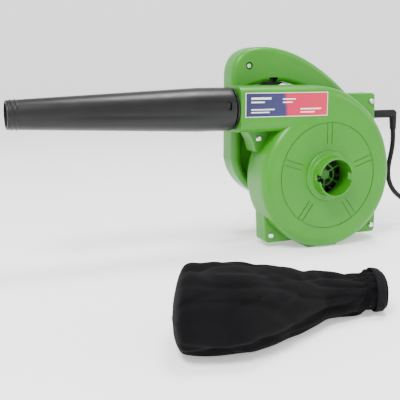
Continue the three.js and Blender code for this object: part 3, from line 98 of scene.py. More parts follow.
@dataclass(frozen=True)
class Finish:
    """A finish with its own colour, gloss and fine pattern.

    Attributes:
        name: name of the material.
        colour: linear red, green and blue.
        roughness: middle value of the gloss.
        metallic: 0 for plastics, 1 for metals.
        surface: how the fine pattern is laid.
        cell: size of one grain of the pattern.
        relief: depth of the pattern.
        shade_change: share by which the colour changes from place to place.
        sheen: weight of the soft glow of cloth at grazing angles.
        coat: weight of a clear glossy layer.
        subsurface: weight of light that passes through the skin.
        specular: strength of the skin's mirror light.
    """

    name: str
    colour: tuple[float, float, float]
    roughness: float = 0.45
    metallic: float = 0.0
    surface: Surface = Surface.GRAIN
    cell: float = 0.0012
    relief: float = 0.00004
    shade_change: float = 0.06
    sheen: float = 0.0
    coat: float = 0.0
    subsurface: float = 0.0
    specular: float = 0.5

    def material(self) -> bpy.types.Material:
        """The finish as a node material, made once and then shared.

        Returns:
            The material.
        """
        made = bpy.data.materials.get(self.name)
        if made is not None:
            return made
        made = bpy.data.materials.new(self.name)
        made.use_nodes = True
        nodes = made.node_tree.nodes
        shader = nodes["Principled BSDF"]
        set_inputs(shader, {
            "Metallic": self.metallic, "Specular IOR Level": self.specular,
            "Coat Weight": self.coat, "Coat Roughness": 0.12,
            "Sheen Weight": self.sheen, "Sheen Roughness": 0.45,
            "Subsurface Weight": self.subsurface, "Subsurface Scale": 0.002,
        })
        self._colour(made, shader)
        self._gloss(made, shader)
        self._relief(made, shader)
        return made

    def _noise(self, material: bpy.types.Material, scale: float, detail: float) -> bpy.types.Node:
        """A noise texture on object coordinates.

        Args:
            material: the material to add it to.
            scale: cells per metre.
            detail: how many finer layers it has.

        Returns:
            The noise node.
        """
        nodes, links = material.node_tree.nodes, material.node_tree.links
        place = nodes.new("ShaderNodeTexCoord")
        mapping = nodes.new("ShaderNodeMapping")
        if self.surface is Surface.BRUSHED:
            mapping.inputs["Scale"].default_value = (1.0, 0.06, 1.0)
        noise = nodes.new("ShaderNodeTexNoise")
        set_inputs(noise, {"Scale": scale, "Detail": detail})
        links.new(place.outputs["Object"], mapping.inputs["Vector"])
        links.new(mapping.outputs["Vector"], noise.inputs["Vector"])
        return noise

    def _colour(self, material: bpy.types.Material, shader: bpy.types.Node) -> None:
        """Links a colour that drifts a little over the piece.

        Args:
            material: the material.
            shader: its shader node.
        """
        nodes, links = material.node_tree.nodes, material.node_tree.links
        noise = self._noise(material, 22.0, 4.0)
        ramp = nodes.new("ShaderNodeValToRGB")
        low = tuple(c * (1 - self.shade_change) for c in self.colour)
        high = tuple(min(1.0, c * (1 + self.shade_change)) for c in self.colour)
        ramp.color_ramp.elements[0].position = 0.35
        ramp.color_ramp.elements[0].color = (*low, 1)
        ramp.color_ramp.elements[1].position = 0.65
        ramp.color_ramp.elements[1].color = (*high, 1)
        links.new(noise.outputs["Fac"], ramp.inputs["Fac"])
        links.new(ramp.outputs["Color"], shader.inputs["Base Color"])

    def _gloss(self, material: bpy.types.Material, shader: bpy.types.Node) -> None:
        """Links a roughness with faint smudges.

        Args:
            material: the material.
            shader: its shader node.
        """
        nodes, links = material.node_tree.nodes, material.node_tree.links
        noise = self._noise(material, 70.0, 5.0)
        spread = nodes.new("ShaderNodeMapRange")
        set_inputs(spread, {"To Min": max(0.03, self.roughness - 0.06),
                            "To Max": min(1.0, self.roughness + 0.06)})
        links.new(noise.outputs["Fac"], spread.inputs["Value"])
        links.new(spread.outputs["Result"], shader.inputs["Roughness"])

    def _relief(self, material: bpy.types.Material, shader: bpy.types.Node) -> None:
        """Links the fine pattern as a bump.

        Args:
            material: the material.
            shader: its shader node.
        """
        nodes, links = material.node_tree.nodes, material.node_tree.links
        bump = nodes.new("ShaderNodeBump")
        set_inputs(bump, {"Strength": 0.6, "Distance": self.relief})
        if self.surface is Surface.WEAVE:
            height = self._weave(material)
        else:
            height = self._noise(material, 1.0 / self.cell, 3.0).outputs["Fac"]
        links.new(height, bump.inputs["Height"])
        links.new(bump.outputs["Normal"], shader.inputs["Normal"])

    def _weave(self, material: bpy.types.Material) -> bpy.types.NodeSocket:
        """Two sets of threads that cross at a right angle, as one height.

        Args:
            material: the material.

        Returns:
            The socket that carries the height.
        """
        nodes, links = material.node_tree.nodes, material.node_tree.links
        place = nodes.new("ShaderNodeTexCoord")
        heights = []
        for direction in ("X", "DIAGONAL"):
            wave = nodes.new("ShaderNodeTexWave")
            wave.bands_direction = direction
            set_inputs(wave, {"Scale": 0.5 / self.cell, "Distortion": 0.4})
            links.new(place.outputs["Object"], wave.inputs["Vector"])
            heights.append(wave.outputs["Fac"])
        product = nodes.new("ShaderNodeMath")
        product.operation = "MULTIPLY"
        links.new(heights[0], product.inputs[0])
        links.new(heights[1], product.inputs[1])
        return product.outputs["Value"]


@dataclass(frozen=True)
class PrintedFilm:
    """The rating label's print, which fades from dark blue on the left to red on the right.

    Attributes:
        name: name of the material.
        left: X where the fade starts.
        right: X where it ends.
    """

    name: str
    left: float
    right: float

    def material(self) -> bpy.types.Material:
        """The print as a node material.

        Returns:
            The material.
        """
        made = bpy.data.materials.new(self.name)
        made.use_nodes = True
        nodes, links = made.node_tree.nodes, made.node_tree.links
        shader = nodes["Principled BSDF"]
        set_inputs(shader, {"Roughness": 0.35, "Specular IOR Level": 0.3})
        place = nodes.new("ShaderNodeTexCoord")
        split = nodes.new("ShaderNodeSeparateXYZ")
        noise = nodes.new("ShaderNodeTexNoise")
        noise.inputs["Scale"].default_value = 60.0
        along = nodes.new("ShaderNodeMapRange")
        set_inputs(along, {"From Min": self.left, "From Max": self.right})
        shaken = nodes.new("ShaderNodeMath")
        shaken.operation = "MULTIPLY_ADD"
        shaken.inputs[1].default_value = 0.08
        ramp = nodes.new("ShaderNodeValToRGB")
        stops = [
            (0.0, (0.018, 0.022, 0.065, 1)),
            (0.50, (0.028, 0.03, 0.10, 1)),
            (0.54, (0.48, 0.012, 0.06, 1)),
            (1.0, (0.55, 0.014, 0.055, 1)),
        ]
        ramp.color_ramp.elements[0].color = stops[0][1]
        ramp.color_ramp.elements[1].color = stops[-1][1]
        for position, colour in stops[1:-1]:
            ramp.color_ramp.elements.new(position).color = colour
        links.new(place.outputs["Object"], split.inputs["Vector"])
        links.new(place.outputs["Object"], noise.inputs["Vector"])
        links.new(split.outputs["X"], along.inputs["Value"])
        links.new(noise.outputs["Fac"], shaken.inputs[0])
        links.new(along.outputs["Result"], shaken.inputs[2])
        links.new(shaken.outputs["Value"], ramp.inputs["Fac"])
        links.new(ramp.outputs["Color"], shader.inputs["Base Color"])
        return made


GREEN = Finish("green_shell", (0.030, 0.205, 0.008), 0.36, cell=0.0009, relief=0.00003,
               shade_change=0.06, specular=0.35)
BLACK = Finish("black_moulding", (0.004, 0.004, 0.0045), 0.36, cell=0.0008, relief=0.00004,
               shade_change=0.2, specular=0.32)
RUBBER = Finish("dull_rubber", (0.0035, 0.0035, 0.004), 0.5, cell=0.0006, relief=0.00005,
                shade_change=0.25, specular=0.2)
ZINC = Finish("zinc_plate", (0.72, 0.73, 0.75), 0.28, 1.0, cell=0.0004, relief=0.00002,
              shade_change=0.12)
STEEL = Finish("turned_steel", (0.52, 0.53, 0.55), 0.32, 1.0, Surface.BRUSHED, 0.0005,
               0.00002, 0.12)
COPPER = Finish("varnished_copper", (0.62, 0.24, 0.09), 0.35, 1.0, cell=0.0007, relief=0.00008,
                shade_change=0.2, coat=0.5)
BRASS = Finish("bright_brass", (0.72, 0.50, 0.18), 0.25, 1.0, Surface.BRUSHED, 0.0005,
               0.00002, 0.1)
CARBON = Finish("carbon_block", (0.03, 0.03, 0.032), 0.7, cell=0.0005, relief=0.00006,
                shade_change=0.3)
WHITE = Finish("natural_moulding", (0.62, 0.62, 0.58), 0.45, cell=0.001, subsurface=0.1)
DUSTY = Finish("dusty_impeller", (0.10, 0.10, 0.095), 0.6, cell=0.001, shade_change=0.3)
WHITE_INK = Finish("white_ink", (0.75, 0.74, 0.72), 0.4, cell=0.0006, relief=0.00001)
CLOTH = Finish("woven_bag_cloth", (0.0035, 0.0035, 0.004), 0.9, surface=Surface.WEAVE,
               cell=0.0008, relief=0.00012, shade_change=0.25, sheen=0.01, specular=0.06)
WEBBING = Finish("elastic_webbing", (0.005, 0.005, 0.006), 0.85, surface=Surface.WEAVE,
                 cell=0.0005, relief=0.00015, shade_change=0.3, sheen=0.02, specular=0.08)


# ---------------------------------------------------------------- mesh building
def new_object(name: str, vertices: np.ndarray, faces: list | np.ndarray) -> bpy.types.Object:
    """A mesh object at the origin.

    Args:
        name: name of the piece.
        vertices: points, one row each.
        faces: vertex numbers of each face.

    Returns:
        The linked object.
    """
    mesh = bpy.data.meshes.new(name)
    rows = faces.tolist() if isinstance(faces, np.ndarray) else faces
    mesh.from_pydata(vertices.reshape(-1, 3).tolist(), [], rows)
    mesh.update()
    made = bpy.data.objects.new(name, mesh)
    bpy.context.scene.collection.objects.link(made)
    return made


def grid_faces(rows: int, columns: int, wrap_rows: bool, wrap_columns: bool) -> np.ndarray:
    """Four-sided faces of a grid of points, whose ends may join up.

    Args:
        rows: number of points along the first parameter.
        columns: number of points along the second.
        wrap_rows: whether the last row joins the first.
        wrap_columns: whether the last column joins the first.

    Returns:
        Four vertex numbers per face.
    """
    i = np.arange(rows if wrap_rows else rows - 1)
    j = np.arange(columns if wrap_columns else columns - 1)
    i, j = (a.ravel() for a in np.meshgrid(i, j, indexing="ij"))
    i1, j1 = (i + 1) % rows, (j + 1) % columns
    return np.stack([i * columns + j, i * columns + j1, i1 * columns + j1, i1 * columns + j], 1)


def turned(name: str, profile: np.ndarray, axis: Axis, centre: tuple[float, float],
           segments: int = 96) -> bpy.types.Object:
    """A closed profile carried round a line: a ring, or a tube with a wall.

    Each point (r, s) of the profile goes round the line at the distance r and stays at s
    along it. The profile closes on itself.

    Args:
        name: name of the piece.
        profile: (radius, place along the line) rows.
        axis: the direction of the line.
        centre: where the line passes, as (y, z) for X or (x, z) for Y.
        segments: number of steps round the line.

    Returns:
        The linked object, with its faces out.
    """
    angle = np.linspace(0, 2 * math.pi, segments, endpoint=False)[:, None]
    radius, along = profile[None, :, 0], profile[None, :, 1]
    a = centre[0] + radius * np.cos(angle)
    b = centre[1] + radius * np.sin(angle)
    along = np.broadcast_to(along, a.shape)
    order = (along, a, b) if axis is Axis.X else (a, along, b)
    made = new_object(name, np.stack(order, -1), grid_faces(segments, len(profile), True, True))
    return faces_out(made)


def lofted(name: str, rings: list[np.ndarray]) -> bpy.types.Object:
    """A closed solid through a row of rings, with a flat face over each end.

    Args:
        name: name of the piece.
        rings: the points of each ring, all of one length, in order.

    Returns:
        The linked object, with its faces out.
    """
    count = len(rings[0])
    last = (len(rings) - 1) * count
    faces = grid_faces(len(rings), count, False, True).tolist()
    faces += [list(range(count))[::-1], list(range(last, last + count))]
    return faces_out(new_object(name, np.vstack(rings), faces))


def prism(name: str, outline: np.ndarray, y0: float, y1: float) -> bpy.types.Object:
    """A plate between two planes across Y whose edge follows an outline.

    Args:
        name: name of the piece.
        outline: (x, z) rows round the plate.
        y0: front plane.
        y1: back plane.

    Returns:
        The linked object, with its faces out.
    """
    front = np.stack([outline[:, 0], np.full(len(outline), y0), outline[:, 1]], 1)
    return lofted(name, [front, front + [0, y1 - y0, 0]])


def inset_outline(outline: np.ndarray, inset: float) -> np.ndarray:
    """An outline drawn in, or let out where the inset is negative.

    Each point moves along the mean of its two edges' normals, by the inset over the cosine of
    half the turn, and at most by twice the inset.

    Args:
        outline: (x, z) rows of a closed outline.
        inset: how far its edges move inwards.

    Returns:
        (x, z) rows.
    """
    before, after = np.roll(outline, 1, 0), np.roll(outline, -1, 0)
    area = (outline[:, 0] * after[:, 1] - outline[:, 1] * after[:, 0]).sum()
    edges = np.stack([outline - before, after - outline])
    edges /= np.linalg.norm(edges, axis=-1, keepdims=True)
    normals = np.stack([-edges[..., 1], edges[..., 0]], -1) * np.sign(area)
    middle = normals.sum(0)
    middle /= np.linalg.norm(middle, axis=1, keepdims=True)
    spread = np.maximum((middle * normals[0]).sum(1, keepdims=True), 0.5)
    return outline + middle * inset / spread


def lofted_plate(name: str, outline: np.ndarray, levels: np.ndarray) -> bpy.types.Object:
    """A plate across Y whose outline is drawn in by a given inset at each of its planes.

    Args:
        name: name of the piece.
        outline: (x, z) rows round the plate.
        levels: (y, inset) rows in order along Y.

    Returns:
        The linked object, with its faces out.
    """
    rings = [np.insert(inset_outline(outline, inset), 1, y, 1) for y, inset in levels]
    return lofted(name, rings)


def faces_out(piece: bpy.types.Object) -> bpy.types.Object:
    """Turns every face of a closed piece outwards.

    The volume is the sum over the faces' triangles of corner . (corner x corner) / 6, and a
    negative sum means that the piece is inside out.

    Args:
        piece: the closed piece.

    Returns:
        The same piece.
    """
    mesh = piece.data
    mesh.calc_loop_triangles()
    corners = np.empty(len(mesh.loop_triangles) * 3, np.int32)
    mesh.loop_triangles.foreach_get("vertices", corners)
    points = coordinates(mesh)[corners].reshape(-1, 3, 3)
    volume = np.einsum("ij,ij->i", points[:, 0], np.cross(points[:, 1], points[:, 2])).sum()
    if volume < 0:
        mesh.flip_normals()
    return piece


def coordinates(mesh: bpy.types.Mesh) -> np.ndarray:
    """The mesh's points, one row each."""
    values = np.empty(len(mesh.vertices) * 3, np.float32)
    mesh.vertices.foreach_get("co", values)
    return values.reshape(-1, 3).astype(float)


def set_coordinates(mesh: bpy.types.Mesh, points: np.ndarray) -> None:
    """Puts new points into the mesh."""
    mesh.vertices.foreach_set("co", points.astype(np.float32).ravel())
    mesh.update()


def settle(piece: bpy.types.Object) -> bpy.types.Object:
    """Turns the piece's modifiers into plain mesh.

    Args:
        piece: the piece.

    Returns:
        The same piece.
    """
    bpy.context.view_layer.update()
    graph = bpy.context.evaluated_depsgraph_get()
    mesh = bpy.data.meshes.new_from_object(piece.evaluated_get(graph))
    piece.modifiers.clear()
    old, piece.data = piece.data, mesh
    bpy.data.meshes.remove(old)
    return piece


def combine(piece: bpy.types.Object, tools: list[bpy.types.Object],
            join: Join = Join.CUT) -> bpy.types.Object:
    """Combines the piece with the tools, and removes them.

    Args:
        piece: the piece to change.
        tools: closed solids.
        join: what the piece does with them.

    Returns:
        The same piece.
    """
    for tool in tools:
        step = piece.modifiers.new("combine", "BOOLEAN")
        step.operation = join.value
        step.solver = "EXACT"
        step.object = tool
    settle(piece)
    for tool in tools:
        bpy.data.objects.remove(tool)
    return piece


def round_rim(piece: bpy.types.Object, y: float, radius: float, segments: int = 6,
              keep_out: Callable[[np.ndarray], np.ndarray] | None = None) -> None:
    """Rounds the edges where the end face in the plane y meets the side walls.

    An edge counts when both its ends lie in the plane, one of its faces looks along Y and
    the other doesn't.

    Args:
        piece: the piece, which keeps plain mesh.
        y: the plane.
        radius: radius of the rounding.
        segments: number of facets across it.
        keep_out: tells from the edges' middles which of them stay sharp.
    """
    mesh = piece.data
    ends = np.empty(len(mesh.edges) * 2, np.int32)
    mesh.edges.foreach_get("vertices", ends)
    points = coordinates(mesh)[ends.reshape(-1, 2)]
    in_plane = np.abs(points[:, :, 1] - y).max(1) < 1e-5
    if keep_out is not None:
        in_plane &= ~keep_out(points.mean(1))
    edge_of_corner = np.empty(len(mesh.loops), np.int32)
    mesh.loops.foreach_get("edge_index", edge_of_corner)
    corners = np.empty(len(mesh.polygons), np.int32)
    mesh.polygons.foreach_get("loop_total", corners)
    normals = np.empty(len(mesh.polygons) * 3, np.float32)
    mesh.polygons.foreach_get("normal", normals)
    facing = np.repeat(np.abs(normals.reshape(-1, 3)[:, 1]), corners)
    least, most = np.ones(len(mesh.edges)), np.zeros(len(mesh.edges))
    np.minimum.at(least, edge_of_corner, facing)
    np.maximum.at(most, edge_of_corner, facing)
    weight = (in_plane & (most > 0.99) & (least < 0.9)).astype(np.float32)
    mesh.attributes.new("bevel_weight_edge", "FLOAT", "EDGE").data.foreach_set("value", weight)
    step = piece.modifiers.new("rim", "BEVEL")
    step.limit_method = "WEIGHT"
    step.offset_type = "OFFSET"
    step.width = radius
    step.segments = segments
    step.use_clamp_overlap = False
    settle(piece)
    left_over = piece.data.attributes.get("bevel_weight_edge")
    if left_over is not None:
        piece.data.attributes.remove(left_over)


def soften(piece: bpy.types.Object, width: float, segments: int = 2, angle: float = 38) -> None:
    """Breaks the sharp edges and shades the rest smooth.

    Args:
        piece: the piece.
        width: width of the broken edge.
        segments: number of facets across it.
        angle: edges that turn by more than this many degrees are broken.
    """
    step = piece.modifiers.new("edges", "BEVEL")
    step.limit_method = "ANGLE"
    step.angle_limit = math.radians(angle)
    step.width = width
    step.segments = segments
    step.harden_normals = False
    piece.data.shade_smooth()
    even = piece.modifiers.new("shading", "WEIGHTED_NORMAL")
    even.keep_sharp = True
    even.weight = 60


def dress(piece: bpy.types.Object, finish: Finish | PrintedFilm) -> None:
    """Gives the piece one finish all over."""
    piece.data.materials.clear()
    piece.data.materials.append(finish.material())


def refined(node: str, finish: Finish, width: float, segments: int = 2) -> bpy.types.Object:
    """A merged copy of a solid-model node with broken edges, in place of the node.

    Args:
        node: name of the node.
        finish: its finish.
        width: width of the broken edges.
        segments: number of facets across them.

    Returns:
        The new piece.
    """
    source = frame["nodes"][node]
    piece = bpy.data.objects.new(f"{node}_finished", source.data.copy())
    bpy.context.scene.collection.objects.link(piece)
    weld = piece.modifiers.new("weld", "WELD")
    weld.merge_threshold = 2e-6
    flat = piece.modifiers.new("flat", "DECIMATE")
    flat.decimate_type = "DISSOLVE"
    flat.angle_limit = math.radians(0.5)
    settle(piece)
    soften(piece, width, segments)
    dress(piece, finish)
    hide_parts(node)
    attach(piece, BODY_OF[node])
    return piece


BODY_OF = {
    node: body
    for body, nodes in frame["record"]["behaviour"]["bodies"].items()
    for node in nodes
}


def arc(x: float, z: float, r: float, start: float, end: float, step: float = 3) -> np.ndarray:
    """Points on a round stretch: (x + r cos a, z + r sin a).

    Args:
        x: centre.
        z: centre.
        r: radius.
        start: first angle in degrees.
        end: last angle in degrees.
        step: largest step in degrees.

    Returns:
        (x, z) rows.
    """
    count = max(2, int(abs(end - start) / step) + 1)
    a = np.radians(np.linspace(start, end, count))
    return np.stack([x + r * np.cos(a), z + r * np.sin(a)], 1)


def bezier(*controls: tuple[float, float], count: int = 14) -> np.ndarray:
    """Points on a Bezier curve, each the sum of the controls by the Bernstein weights.

    Args:
        controls: three or four (x, z) controls.
        count: number of points.

    Returns:
        (x, z) rows.
    """
    t = np.linspace(0, 1, count)[:, None]
    degree = len(controls) - 1
    weights = [math.comb(degree, k) * t**k * (1 - t) ** (degree - k) for k in range(degree + 1)]
    return sum(w * np.array(c)[None] for w, c in zip(weights, controls))


def outline_of(*stretches: np.ndarray | tuple[float, float]) -> np.ndarray:
    """Stretches and single points joined to one closed outline without doubled points.

    Args:
        stretches: (x, z) rows or single points, in order.

    Returns:
        (x, z) rows.
    """
    points = np.vstack([np.atleast_2d(np.array(s, float)) for s in stretches])
    gap = np.linalg.norm(points - np.roll(points, 1, 0), axis=1)
    return points[gap > 1e-6]


# ---------------------------------------------------------------- camera, floor and light
@dataclass
class Studio:
    """A pale floor in a white room, soft lamps, and the camera.

    Attributes:
        place: where the camera stands.
        direction: where it looks.
        focal_length: in millimetres, on a sensor 36 mm wide.
    """

    place: tuple[float, float, float] = (-0.46085, -0.76321, 0.22466)
    direction: tuple[float, float, float] = (0.36505, 0.91145, -0.18972)
    focal_length: float = 65.565

    def camera(self) -> None:
        """Makes the camera and gives it to the scene."""
        data = bpy.data.cameras.new("camera")
        data.lens = self.focal_length
        data.sensor_width = 36.0
        made = bpy.data.objects.new("camera", data)
        made.location = self.place
        made.rotation_euler = Vector(self.direction).to_track_quat("-Z", "Y").to_euler()
        bpy.context.scene.collection.objects.link(made)
        bpy.context.scene.camera = made

    def floor(self) -> None:
        """Makes the pale floor, which curves up into a wall all round.

        A point lies at (r cos a, r sin a, z), where (r, z) runs flat to 3.2 m, then along a
        quarter circle of 1.2 m, and then up.
        """
        bend = np.linspace(0, math.pi / 2, 14)
        r = np.concatenate([[0.02, 0.6, 1.6], 3.2 + 1.2 * np.sin(bend), [4.4]])[:, None]
        z = np.concatenate([[0, 0, 0], 1.2 * (1 - np.cos(bend)), [2.6]])[:, None]
        angle = np.linspace(0, 2 * math.pi, 96, endpoint=False)[None]
        points = np.stack([r * np.cos(angle), r * np.sin(angle), z + 0 * angle], -1)
        faces = grid_faces(len(r), 96, False, True)[:, ::-1].tolist()
        faces.append(list(range(96)))
        plane = new_object("floor", points, faces)
        plane.data.shade_smooth()
        paper = bpy.data.materials.new("floor_paper")
        paper.use_nodes = True
        shader = paper.node_tree.nodes["Principled BSDF"]
        set_inputs(shader, {
            "Base Color": (0.93, 0.93, 0.93, 1), "Roughness": 0.9, "Specular IOR Level": 0.1,
            "Emission Color": (1, 1, 1, 1), "Emission Strength": 0.42,
        })
        plane.data.materials.append(paper)

    def lamp(self, name: str, place: tuple[float, float, float], size: float,
             power: float) -> None:
        """Makes one square lamp that looks at the blower.

        Args:
            name: name of the lamp.
            place: where it hangs.
            size: length of its side.
            power: in watts.
        """
        data = bpy.data.lights.new(name, "AREA")
        data.size = size
        data.energy = power
        made = bpy.data.objects.new(name, data)
        made.location = place
        towards = Vector((-0.05, 0, 0.1)) - Vector(place)
        made.rotation_euler = towards.to_track_quat("-Z", "Y").to_euler()
        bpy.context.scene.collection.objects.link(made)

    def light(self) -> None:
        """Lights the scene with a white sky and three lamps."""
        world = bpy.data.worlds.new("white_room")
        bpy.context.scene.world = world
        world.use_nodes = True
        sky = world.node_tree.nodes["Background"]
        set_inputs(sky, {"Color": (1, 1, 1, 1), "Strength": 0.9})
        self.lamp("key_lamp", (-0.9, -0.8, 1.5), 0.6, 44)
        self.lamp("top_lamp", (0.25, 0.15, 1.7), 0.5, 26)
        self.lamp("side_lamp", (1.2, -0.9, 0.7), 0.5, 5)


# ---------------------------------------------------------------- cord and plug
@dataclass
class Cord:
    """The mains cord: a fall from its boot, a round coil in two layers, and the plug's lead.

    Attributes:
        diameter: of the cord.
        line_y: Y of the plane in which it falls.
        route: (x, z) of the fall, down to where the coil begins.
        coil_x: X of the coil's centre.
        turn_radii: inner and outer radius of the turns.
        pass_radius: how far from the coil's centre the cord arrives and leaves.
        length: real length from the boot to the plug; not used.
        rest_height: height of its centreline where it lies on the floor.
    """

    diameter: float = 6.5 * MM
    line_y: float = 54.5 * MM
    route: tuple[tuple[float, float], ...] = (
        (147.5, 131.6), (148.3, 120), (147.8, 108), (145.8, 96), (143.6, 84), (143.2, 72),
        (146, 60), (152.5, 49), (162, 40), (174, 32), (188, 23), (202, 14), (217, 7),
        (233, 3.55), (243, 3.55),
    )
    coil_x: float = 251 * MM
    turn_radii: tuple[float, float] = (29.5 * MM, 42.5 * MM)
    pass_radius: float = 49.95 * MM
    length: float = 1.467
    rest_height: float = 3.55 * MM

    def coil(self) -> np.ndarray:
        """The turns of the coil, clockwise from above.

        The radius shrinks by one diameter a turn in the lower layer, stays while the cord
        climbs, and grows by one diameter a turn in the upper layer. It eases in from the
        arriving line and out to the leaving one.

        Returns:
            (x, y, z) rows.
        """
        inner, outer = self.turn_radii
        low, high = self.rest_height, self.rest_height + self.diameter
        turns = np.array([0, 0.35, 2.35, 2.65, 4.65, 5.25])
        radii = np.array([self.pass_radius, outer, inner, inner, outer, self.pass_radius])
        heights = np.array([low, low, low, high, high, high - 0.3 * MM])
        t = np.arange(0, 5.2501, 1 / 16)
        angle = math.pi / 2 - 2 * math.pi * t
        radius = np.interp(t, turns, radii)
        z = np.interp(t, turns, heights)
        centre_y = self.line_y - self.pass_radius
        return np.stack(
            [self.coil_x + radius * np.cos(angle), centre_y + radius * np.sin(angle), z], 1
        )

    def points(self) -> np.ndarray:
        """Every point of the centreline, from the boot to the plug.

        Returns:
            (x, y, z) rows.
        """
        fall = np.array(self.route) * MM
        fall = np.stack([fall[:, 0], np.full(len(fall), self.line_y), fall[:, 1]], 1)
        coil = self.coil()
        lead = coil[-1] + np.array([[0, -12, -0.3], [0, -22, -0.5], [0, -30.5, -0.5]]) * MM
        return np.vstack([fall, coil, lead])

    def build(self) -> None:
        """Makes the cord, and finishes its boot and plug."""
        points = self.points()
        curve = bpy.data.curves.new("mains_cord", "CURVE")
        curve.dimensions = "3D"
        curve.bevel_depth = self.diameter / 2
        curve.bevel_resolution = 5
        curve.resolution_u = 6
        curve.use_fill_caps = True
        spline = curve.splines.new("BEZIER")
        spline.bezier_points.add(len(points) - 1)
        spline.bezier_points.foreach_set("co", points.astype(np.float32).ravel())
        for point in spline.bezier_points:
            point.handle_left_type = "AUTO"
            point.handle_right_type = "AUTO"
        piece = bpy.data.objects.new("mains_cord", curve)
        bpy.context.scene.collection.objects.link(piece)
        dress(piece, RUBBER)
        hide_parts("power_cord", "cord_coil", "cord_tail")
        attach(piece, "housing")
        refined("cord_boot", RUBBER, 0.7 * MM)
        plug = refined("plug_body", RUBBER, 2.4 * MM, 4)
        pins = [refined(f"plug_pin_{i}", BRASS, 0.3 * MM) for i in (1, 2)]
        run = np.linalg.norm(np.diff(points, axis=0), axis=1).sum()
        LOG.info("cord: %.3f m along its points", run)


# ---------------------------------------------------------------- fan casing
@dataclass(frozen=True)
class Arc:
    """One of the scroll's arcs: its centre and radius."""

    x: float
    z: float
    r: float


